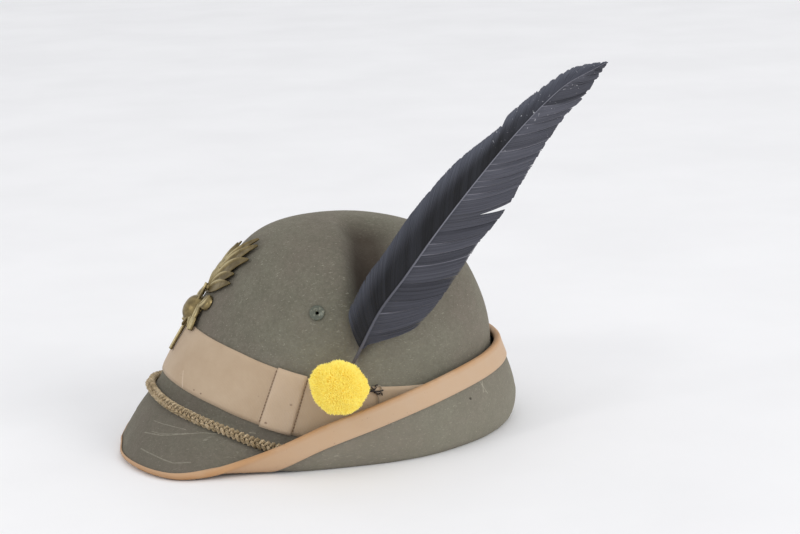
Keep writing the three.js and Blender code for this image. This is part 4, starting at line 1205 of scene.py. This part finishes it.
def barbLine(vane, start, along, way, reach, share, steps, gather):
    # seen from the side: it sags, gathers with its clump, and opens the split towards the edge
    beside = np.array([way[1], -way[0]]) * vane["side"]
    sag = plumeShape["sag"] * reach * 4 * steps * (1 - steps)
    flat = start + np.outer(steps * reach, way) + np.outer(sag, beside)
    flat -= np.outer(steps**2 * gather, along)
    if vane["side"] > 0:
        apart = (share - plumeShape["splitAt"]) * 100
        push = math.exp(-abs(apart) / 7.0) * (0.55 if apart > 0 else -0.9) * plumeShape["splitOpen"]
        flat += np.outer(smoothStep(steps, plumeShape["splitFrom"], 1.15) * push * 1.6, along)
    return flat


def plumeBarbs():
    s = plumeShape
    generator = np.random.default_rng(s["seed"])
    count = s["rachisSteps"]
    rachis = alongLine(rachisRows, count)
    base = int(count * s["vaneFrom"])
    steps = np.linspace(0, 1, s["steps"]) ** 0.9
    chains, sizes = [], {"barbWidth": [], "barbToneAndLight": [], "barbTilt": [], "barbOut": []}
    for vane in vaneShapes:
        side, tilt = vane["side"], vane["tilt"]
        right = side > 0
        outline = alongLine(vane["outline"], 500)
        clump = {"left": 0}
        for n in range(s["barbs"]):
            share = n / s["barbs"]
            k = base + share * (count - 2 - base)
            start = rachis[int(k)] * (1 - k % 1) + rachis[int(k) + 1] * (k % 1)
            along = rachis[min(int(k) + 4, count - 1)] - rachis[max(int(k) - 4, 0)]
            along /= np.linalg.norm(along)
            beyond = np.array([-along[1], along[0]])
            turn = -side * math.radians(float(readRows(barbRows, share)[0, int(right)]))
            way = along * math.cos(turn) + beyond * math.sin(turn)
            far = rayToOutline(start, way, outline)
            if far is None:
                continue
            if clump["left"] <= 0:
                clump = newClump(generator, vane, share)
            clump["left"] -= 1
            inClump = 1 - clump["left"] / clump["size"]
            reach = barbReach(generator, vane, far, max(0.0, clump["pull"]) * inClump**2, share)
            gather = (inClump - 0.5) * clump["size"] * s["gather"]
            flat = barbLine(vane, start, along, way, reach, share, steps, gather)
            away = np.abs((flat - start) @ beyond)
            lift = clump["tilt"] * 0.4 - (inClump - 0.5) * vane["lift"]
            x = s["plane"] + s["lean"] * (flat[:, 1] - s["foot"]) - tilt * away - s["bow"] * away**2
            x += 0.05 * math.sin(n * 1.9) * steps + lift * smoothStep(steps, 0.02, 0.5)
            chains.append(np.column_stack([x, flat]))
            # tones up to 1 are the left vane's, painted shade that darkens it towards the rachis, and from 1 to 2 the
            # right one's, whose clumps end in a pale ridge, a painted highlight
            edge = 0.95 if clump["left"] == 0 and clump["tone"] > 0.2 and right else 0.0
            tone = max(edge, 0.75 * (0.6 * clump["tone"] + 0.4 * generator.random()))
            outer = 0.76 * smoothStep(steps, 0.35, 1.0) * (0.55 + 0.45 * smoothStep(share, 0, 0.5))
            roll = 0.18 + 0.5 * clump["tilt"] + generator.uniform(-0.12, 0.12) * vane["roll"]
            out = np.array([1.0, *(beyond * (-side * tilt * 1.2))])
            sizes["barbWidth"].append(np.interp(steps, [0, 0.9, 1], [1, 1, 0.5]))
            sizes["barbToneAndLight"].append(np.full(len(steps), 1.0 + tone) if right else 0.18 * tone + outer)
            sizes["barbTilt"].append(np.full(len(steps), roll))
            sizes["barbOut"].append(np.tile(out / np.linalg.norm(out), (len(steps), 1)))
    return chains, {name: np.concatenate(values) for name, values in sizes.items()}


def barbTree():
    tree, given, end = newTree("barbTree", "Width Thick")
    curve = shapeNode(tree, "MeshToCurve", {0: given["Geometry"]})
    names = {"Curve": curve, "Normal": pointData(tree, "barbOut")}
    upright = shapeNode(tree, "SetCurveNormal", names, mode="FREE")
    tilted = shapeNode(tree, "SetCurveTilt", {0: upright, "Tilt": pointData(tree, "barbTilt", "FLOAT")})
    width = pointData(tree, "barbWidth", "FLOAT")
    sized = shapeNode(tree, "SetCurveRadius", {0: tilted, "Radius": width})
    ring = shapeNode(tree, "CurvePrimitiveCircle", {"Resolution": 4, "Radius": 1.0})
    size = joinVector(tree, given["Thick"], given["Width"], 1.0)
    flat = shapeNode(tree, "Transform", {"Geometry": ring, "Scale": size})
    names = {"Curve": sized, "Profile Curve": flat, "Fill Caps": True}
    strip = addNode(tree, "GeometryNodeCurveToMesh", names)
    if "Scale" in strip.inputs:
        tree.links.new(width, strip.inputs["Scale"])
    return endTree(tree, given, end, strip.outputs[0])


def featherMaterial():
    settings = {"Roughness": 0.58, "Specular IOR Level": 0.24, "Sheen Weight": 0.08, "Sheen Roughness": 0.4}
    material, tree, shader, spot, _ = newMaterial("plumeBarbs", settings)
    up = splitVector(tree, spot)[2]
    tone = vertexTone(tree, "barbToneAndLight")
    # painted shade: the left vane is near black by the rachis low down, lighter towards the tip and towards its outer
    # edge
    root = mixTones(tree, spread(tree, up, 0.195, 0.225), linearTone(14, 14, 18), linearTone(64, 66, 76))
    left = mixTones(tree, spread(tree, tone, 0, 0.8), root, linearTone(86, 89, 100))
    right = mixTones(tree, spread(tree, tone, 1, 1.8), linearTone(54, 55, 63), linearTone(90, 91, 101))
    # painted highlight: the pale ridges at the clumps' ends
    right = mixTones(tree, spread(tree, tone, 1.82, 1.94), right, linearTone(118, 118, 128))
    base = mixTones(tree, spread(tree, tone, 0.96, 1.0), left, right)
    # pale flakes towards the tip
    flakes = times(tree, patches(tree, spot, 480, 2, 0.55, 0.69, 0.73), spread(tree, up, 0.185, 0.2))
    setSocket(tree, shader, "Base Color", layTone(tree, base, flakes, 0.8, linearTone(190, 190, 196)))
    return material


def quillMaterial():
    settings = {"Roughness": 0.42, "Specular IOR Level": 0.5}
    material, tree, shader, spot, _ = newMaterial("plumeQuill", settings)
    height = splitVector(tree, spot)[2]
    base = mixTones(tree, spread(tree, height, 0.055, 0.08), linearTone(70, 60, 54), linearTone(74, 75, 85))
    base = mixTones(tree, spread(tree, height, 0.1, 0.15), base, linearTone(118, 119, 129))
    base = paintPatches(tree, spot, base, [(300, 3, 0.55, 0.3, 0.7, 0.3, linearTone(62, 62, 70))])
    setSocket(tree, shader, "Base Color", base)
    return material


def sweptFaces(rows, size):
    # quads between rings of points, with a cap at each end
    faces = []
    for n in range(rows - 1):
        for k in range(size):
            m = (k + 1) % size
            faces.append((n * size + k, n * size + m, (n + 1) * size + m, (n + 1) * size + k))
    return faces + [tuple(range(size)), tuple((rows - 1) * size + k for k in range(size))]


def tubeParts(line, radii, sides):
    line = np.asarray(line, float)
    radii = np.broadcast_to(np.asarray(radii, float), (len(line),))
    along = unit(np.gradient(line, axis=0))
    normal = np.cross(along[0], [1.0, 0.1, 0.05])
    points = []
    for n in range(len(line)):
        normal = unit(normal - along[n] * (normal @ along[n]))
        other = np.cross(along[n], normal)
        for k in range(sides):
            turn = 2 * math.pi * k / sides
            points.append(line[n] + radii[n] * (normal * math.cos(turn) + other * math.sin(turn)))
    return np.array(points), sweptFaces(len(line), sides)


chains, barbSizes = plumeBarbs()
barbPath = chainObject("plumeVanes", chains, barbSizes)
applyTree(barbPath, barbTree(), {"Width": plumeShape["barbWidth"] / 1000, "Thick": plumeShape["barbThick"] / 1000,
                                 "Material": featherMaterial()})
vanes = makeObject("plumeVanes", bakeNodes(barbPath))
rachis = alongLine(rachisRows, 90)
rachisPlane = plumeShape["plane"] + plumeShape["lean"] * (rachis[:, 1] - plumeShape["foot"]) + 0.4
rachisLine = np.column_stack([rachisPlane, rachis])
rachisSize = np.interp(np.linspace(0, 1, 90), [0, 0.15, 0.45, 0.8, 1], [1.4, 0.85, 0.42, 0.27, 0.12])
quill = makeObject("plumeQuill", joinParts("plumeQuill", [tubeParts(rachisLine, rachisSize, 12)]), quillMaterial())
finishPiece(vanes, ["plume"])
finishPiece(quill, ["plume"])


# ---- wire behind the pompom
wireOffset = 3.6
# way back and height along the band's face, radius, and whether it is the dark wire
wirePaths = [
    ([(-2, 46.8), (3, 46.2), (8, 45.6), (11, 44.6), (14.5, 43.9), (17.6, 43.4), (20.4, 43.9)], 0.5, True),
    ([(11.0, 45.4), (14.0, 44.6), (16.4, 45.9), (15.6, 47.2), (17.6, 47.6)], 0.42, True),
    ([(12.0, 44.4), (15.4, 43.6), (17.0, 41.6), (19.2, 42.4), (19.8, 40.8)], 0.42, True),
    ([(13.4, 46.6), (14.1, 45.7), (14.7, 44.5), (15.1, 43.6), (15.4, 42.6)], 0.4, True),
    ([(15.4, 44.8), (16.4, 46.8), (18.4, 46.9), (19.5, 45.2), (18.9, 43.3), (17.0, 42.7), (15.6, 43.8)], 0.32, False),
    ([(16.6, 42.4), (17.2, 40.2), (17.4, 38.0), (17.1, 36.2)], 0.3, False),
    ([(-27.5, 53.0), (-29.3, 54.4), (-31.2, 53.6), (-31.4, 51.6), (-29.6, 50.6)], 0.34, False),
]


def wireParts(path, radius):
    flat = alongLine(np.array(path, float), 18)
    line = []
    for y, up in flat:
        point, out = leftFace(y, up)
        point = point + out * wireOffset
        # two points at one place have no direction
        if not line or np.linalg.norm(point - line[-1]) > 0.12:
            line.append(point)
    return tubeParts(line, radius, 8)


wireLooks = (("darkWire", True, {"Roughness": 0.5, "Metallic": 0.3, "Base Color": linearTone(38, 30, 26)}),
             ("greyLoops", False, {"Roughness": 0.7, "Base Color": linearTone(140, 128, 112)}))
for name, isDark, settings in wireLooks:
    parts = [wireParts(path, radius) for path, radius, dark in wirePaths if dark == isDark]
    finishPiece(makeObject(name, joinParts(name, parts), newMaterial(name, settings)[0]), ["pompom_wire"])


# ---- brass torch badge on the front of the crown
badgeShape = {"seat": 0.6, "bend": 74.0, "flameSeat": 1.3, "curlUp": 0.8}
# the flame's tongues: way out and height over the band's foot of the middle line, half widths, and the sides that have one
flameRows = [
    ([(0.5, 59), (8, 64), (16, 69), (25, 73.5)], [1.4, 3.6, 4.2, 2.6, 0.5], (1, -1)),
    ([(0.5, 60), (8, 68.5), (15, 75), (22.5, 79.5)], [1.4, 4.2, 5.0, 3.0, 0.5], (1, -1)),
    ([(0.5, 61), (7.0, 73), (14.5, 84), (24.5, 92.5)], [1.6, 5.2, 6.2, 3.8, 0.6], (1, -1)),
    ([(0.5, 61), (4.6, 76), (11.5, 90), (20.5, 102.5)], [1.6, 5.0, 6.2, 3.8, 0.6], (1,)),
    ([(0.5, 61), (4.6, 75), (10.5, 86), (17, 94)], [1.6, 5.0, 6.2, 3.8, 0.6], (-1,)),
    ([(0.3, 61), (2.6, 77), (7.0, 91), (15.5, 105.5)], [1.6, 4.2, 5.0, 3.0, 0.5], (1,)),
    ([(0.3, 61), (2.0, 76), (3.4, 88), (6.0, 96.5)], [1.6, 4.2, 5.2, 3.4, 0.6], (-1,)),
]
# the leaves round the boss, on the wearer's left
leafRows = [
    ([(5, 46), (8, 49), (12, 53), (13.5, 59)], [1.5, 2.6, 3.0, 0.9]),
    ([(7, 50), (9.5, 45), (10.5, 40.5), (12, 37)], [2.2, 3.0, 2.6, 1.6]),
    ([(10.2, 41), (11.5, 38), (12.4, 35.5), (13, 33)], [1.2, 1.2, 1.0, 1.1]),
    ([(12.8, 41.5), (14.2, 38.6), (15.2, 36), (15.8, 33.8)], [1.0, 1.1, 1.0, 1.0]),
    ([(4.5, 41.5), (7, 38), (8.5, 36), (9.6, 33.6)], [1.4, 1.5, 1.3, 0.7]),
]
# line, half widths, height of the ridge, seat and steps: from the flame's root over the boss, and the rod
ridgeRows = [
    ([(0, 63), (1.5, 57), (3, 50), (3.5, 44), (2.5, 37), (0.5, 32)], [1.6, 0.9, 1.0, 1.2, 1.1, 0.8], 1.6, 3.6, 30),
    ([(0, 15), (0, 22), (0, 31), (0, 38)], [1.35, 1.3, 1.3, 1.3], 1.5, 1.9, 20),
]
# way out, height and seat, radius, height of the dome, roundness: the flame's root, the boss and the two discs
domeRows = [
    ((0, 61.5, 1.6), 2.6, 3.4, 2.0), ((-1.5, 44.8, 0.6), 9.6, 8.6, 2.3),
    ((12.2, 53.6, 1.2), 5.2, 2.8, 3.6), ((-12.2, 53.6, 1.2), 5.2, 2.8, 3.6),
]


def frontPlace(points):
    # points of the way across, the way up from the band's foot and the height off the felt
    samples, lengths, stops = feltLines(np.array([0.0]))
    at = stops[0, 2] - points[:, 1]

    def read(where):
        return np.stack([np.interp(where, lengths[0], samples[0, :, axis]) for axis in range(3)], 1)

    place = read(at)
    along = unit(read(at - 1) - read(at + 1))
    out = np.stack([0 * at, -along[:, 2], along[:, 1]], 1)
    height = feltShape["thickness"] / 2 + points[:, 2] - points[:, 0] ** 2 / (2 * badgeShape["bend"])
    place = place + out * height[:, None]
    place[:, 0] += points[:, 0]
    return place


def tongueParts(line, widths, ridge, seat, curlUp=0.0, steps=20, groove=0.0, thick=0.7, rim=None):
    # a strip along a line; with a rim it is a hollow leaf whose upper edge stands up, on the side that rim names
    centre = alongLine(np.array(line, float), steps)
    along = unit(np.gradient(centre, axis=0))
    share = np.linspace(0, 1, steps)
    width = np.interp(share, np.linspace(0, 1, len(widths)), widths)
    width = np.convolve(np.pad(width, 2, mode="edge"), np.ones(5) / 5, mode="valid")
    width[-1] = max(0.12, widths[-1] * 0.4)
    points, tones = [], []
    across = np.linspace(-1, 1, 15)
    under = np.linspace(0.9, -0.9, 5)
    rounded = np.sqrt(np.maximum(0, 1 - across**2 * 0.96))
    if rim is None:
        profile, drop = rounded - groove * np.exp(-(((across - 0.15) / 0.3) ** 2)), 0.0
    else:
        profile = np.exp(-(((across - 0.7) / 0.2) ** 2)) - 0.15 + 0.2 * rounded
        drop = 0.5 * np.maximum(0, across - 0.8)
    for n in range(steps):
        shape = ridge * width[n] / max(widths) * profile - drop
        lift = curlUp * share[n] ** 2.2
        side = np.array([-along[n][1], along[n][0]]) * (rim or 1)
        heights = np.concatenate([seat + thick + lift + shape, np.full(len(under), seat + lift * 0.85)])
        for u, h in zip(np.concatenate([across, under]), heights):
            points.append((*(centre[n] + side * width[n] * u), h))
        tones += [*(shape / ridge), *(0.0 * under)]
    return frontPlace(np.array(points)), sweptFaces(steps, len(across) + len(under)), tones


def roundParts(centre, radius, height, power=2.0, rows=9, sides=28):
    # a dome, or a disc with a rounded edge, standing on the felt
    x, y, foot = centre
    points, faces = [(x, y, foot + height)], []
    for n in range(1, rows + 1):
        out = math.sin(math.pi / 2 * n / rows)
        up = foot + height * max(0.0, 1 - out**power) ** (1 / power)
        for k in range(sides):
            angle = 2 * math.pi * k / sides
            points.append((x + radius * out * math.cos(angle), y + radius * out * math.sin(angle), up))
    last = 1 + (rows - 1) * sides
    points += [(px, py, foot - 0.35) for px, py, _ in points[last:]]
    for k in range(sides):
        m = (k + 1) % sides
        faces.append((0, 1 + k, 1 + m))
        for n in range(rows):
            a, b = 1 + n * sides, 1 + (n + 1) * sides
            faces.append((a + k, b + k, b + m, a + m))
    faces.append(tuple(last + sides + k for k in range(sides)))
    return frontPlace(np.array(points)), faces


def buildBadge():
    s = badgeShape
    parts = []
    for number, (line, widths, sides) in enumerate(flameRows):
        for side in sides:
            seat = s["flameSeat"] + 0.12 * number
            curl = s["curlUp"] if side > 0 else 0
            mirrored = [(x * side, y) for x, y in line]
            parts.append(tongueParts(mirrored, widths, 1.8, seat, curl, steps=28, thick=0.9, rim=side))
    ridge, rod = (tongueParts(line, widths, high, seat, steps=steps) for line, widths, high, seat, steps in ridgeRows)
    domes = [roundParts(*row) for row in domeRows]
    parts += [ridge, *domes[:2]]
    for side, disc in zip((1, -1), domes[2:]):
        parts.append(disc)
        for line, widths in leafRows:
            parts.append(tongueParts([(x * side, y) for x, y in line], widths, 1.9, s["seat"] + 1.6, groove=0.5))
    return joinParts("torchBadge", [*parts, rod])


def brassMaterial():
    settings = {"Roughness": 0.34, "Metallic": 0.92, "Specular IOR Level": 0.5}
    material, tree, shader, spot, _ = newMaterial("agedBrass", settings)
    tarnish = patches(tree, spot, 150, 4, 0.55, 0.35, 0.62)
    base = mixTones(tree, tarnish, linearTone(152, 135, 94), linearTone(112, 99, 70))
    # painted highlights on the rims, dark patina in the hollows, and dirt
    rim = vertexTone(tree, "rimHighlightAndPatina")
    base = layTone(tree, base, spread(tree, rim, 0.4, 0.75), 0.8, linearTone(204, 190, 150))
    base = mixTones(tree, spread(tree, rim, 0.3, 0.0, 0, 0.6), base, linearTone(92, 79, 50))
    base = paintPatches(tree, spot, base, [(420, 4, 0.7, 0.55, 0.7, 0.6, linearTone(84, 74, 56))])
    setSocket(tree, shader, "Base Color", base)
    setSocket(tree, shader, "Roughness", spread(tree, tarnish, 0, 1, 0.28, 0.5))
    addBump(tree, shader, noise(tree, spot, 300, 3), 0.3, 0.0005)
    return material


badge = makeObject("torchBadge", buildBadge(), brassMaterial())
finishPiece(badge, ["torch_badge"])


# ---- stitches down both sides of the knot
stitchShape = {"length": 1.7, "step": 2.0, "radius": 0.22, "margin": 0.3, "lift": 0.32, "samples": 200,
               "rings": (8.02, 10.98), "ends": (1.6, 1.2)}


def stitchTree():
    tree, given, end = newTree("stitchTree", "Length Radius")
    ball = shapeNode(tree, "MeshUVSphere", {"Segments": 8, "Rings": 6, "Radius": 1.0})
    size = joinVector(tree, times(tree, given["Length"], 0.5), given["Radius"], given["Radius"])
    shaped = shapeNode(tree, "Transform", {"Geometry": ball, "Scale": size})
    names = {0: pointData(tree, "along"), 1: pointData(tree, "outward")}
    turn = addNode(tree, "FunctionNodeAxesToRotation", names, primary_axis="X", secondary_axis="Z").outputs[0]
    dots = shapeNode(tree, "MeshToPoints", {0: given["Geometry"]})
    names = {"Points": dots, "Instance": shaped, "Rotation": turn}
    return endTree(tree, given, end, shapeNode(tree, "InstanceOnPoints", names))


def buildStitches():
    s = stitchShape
    offset = bandShape["offset"] + bandShape["thickness"] + s["lift"]
    points, along, outs = [], [], []
    for direction in (knotShape["start"] - s["margin"], knotShape["end"] + s["margin"]):
        height = np.linspace(*s["rings"], s["samples"])
        line, out = overFelt(np.full(s["samples"], direction), height, offset)
        steps = runLengths(line)
        for at in np.arange(s["ends"][0], steps[-1] - s["ends"][1], s["step"]):
            n = int(np.searchsorted(steps, at))
            points.append(line[n])
            along.append(unit(line[min(n + 2, s["samples"] - 1)] - line[max(n - 2, 0)]))
            outs.append(out[n])
    return chainObject("knotStitches", [np.array(points)], {"along": np.array(along), "outward": np.array(outs)})


stitchTone = newMaterial("brownThread", {"Roughness": 0.8, "Base Color": linearTone(112, 84, 64)})[0]
stitchPath = buildStitches()
applyTree(stitchPath, stitchTree(), {"Length": stitchShape["length"] / 1000, "Radius": stitchShape["radius"] / 1000,
                                     "Material": stitchTone})
finishPiece(makeObject("knotStitches", bakeNodes(stitchPath)), [])


def faceCount(piece):
    return sum(len(p.vertices) - 2 for p in piece.data.polygons)


for piece in bpy.context.scene.objects:
    if piece.type == "MESH" and not piece.hide_render:
        print("shown", piece.name, faceCount(piece))
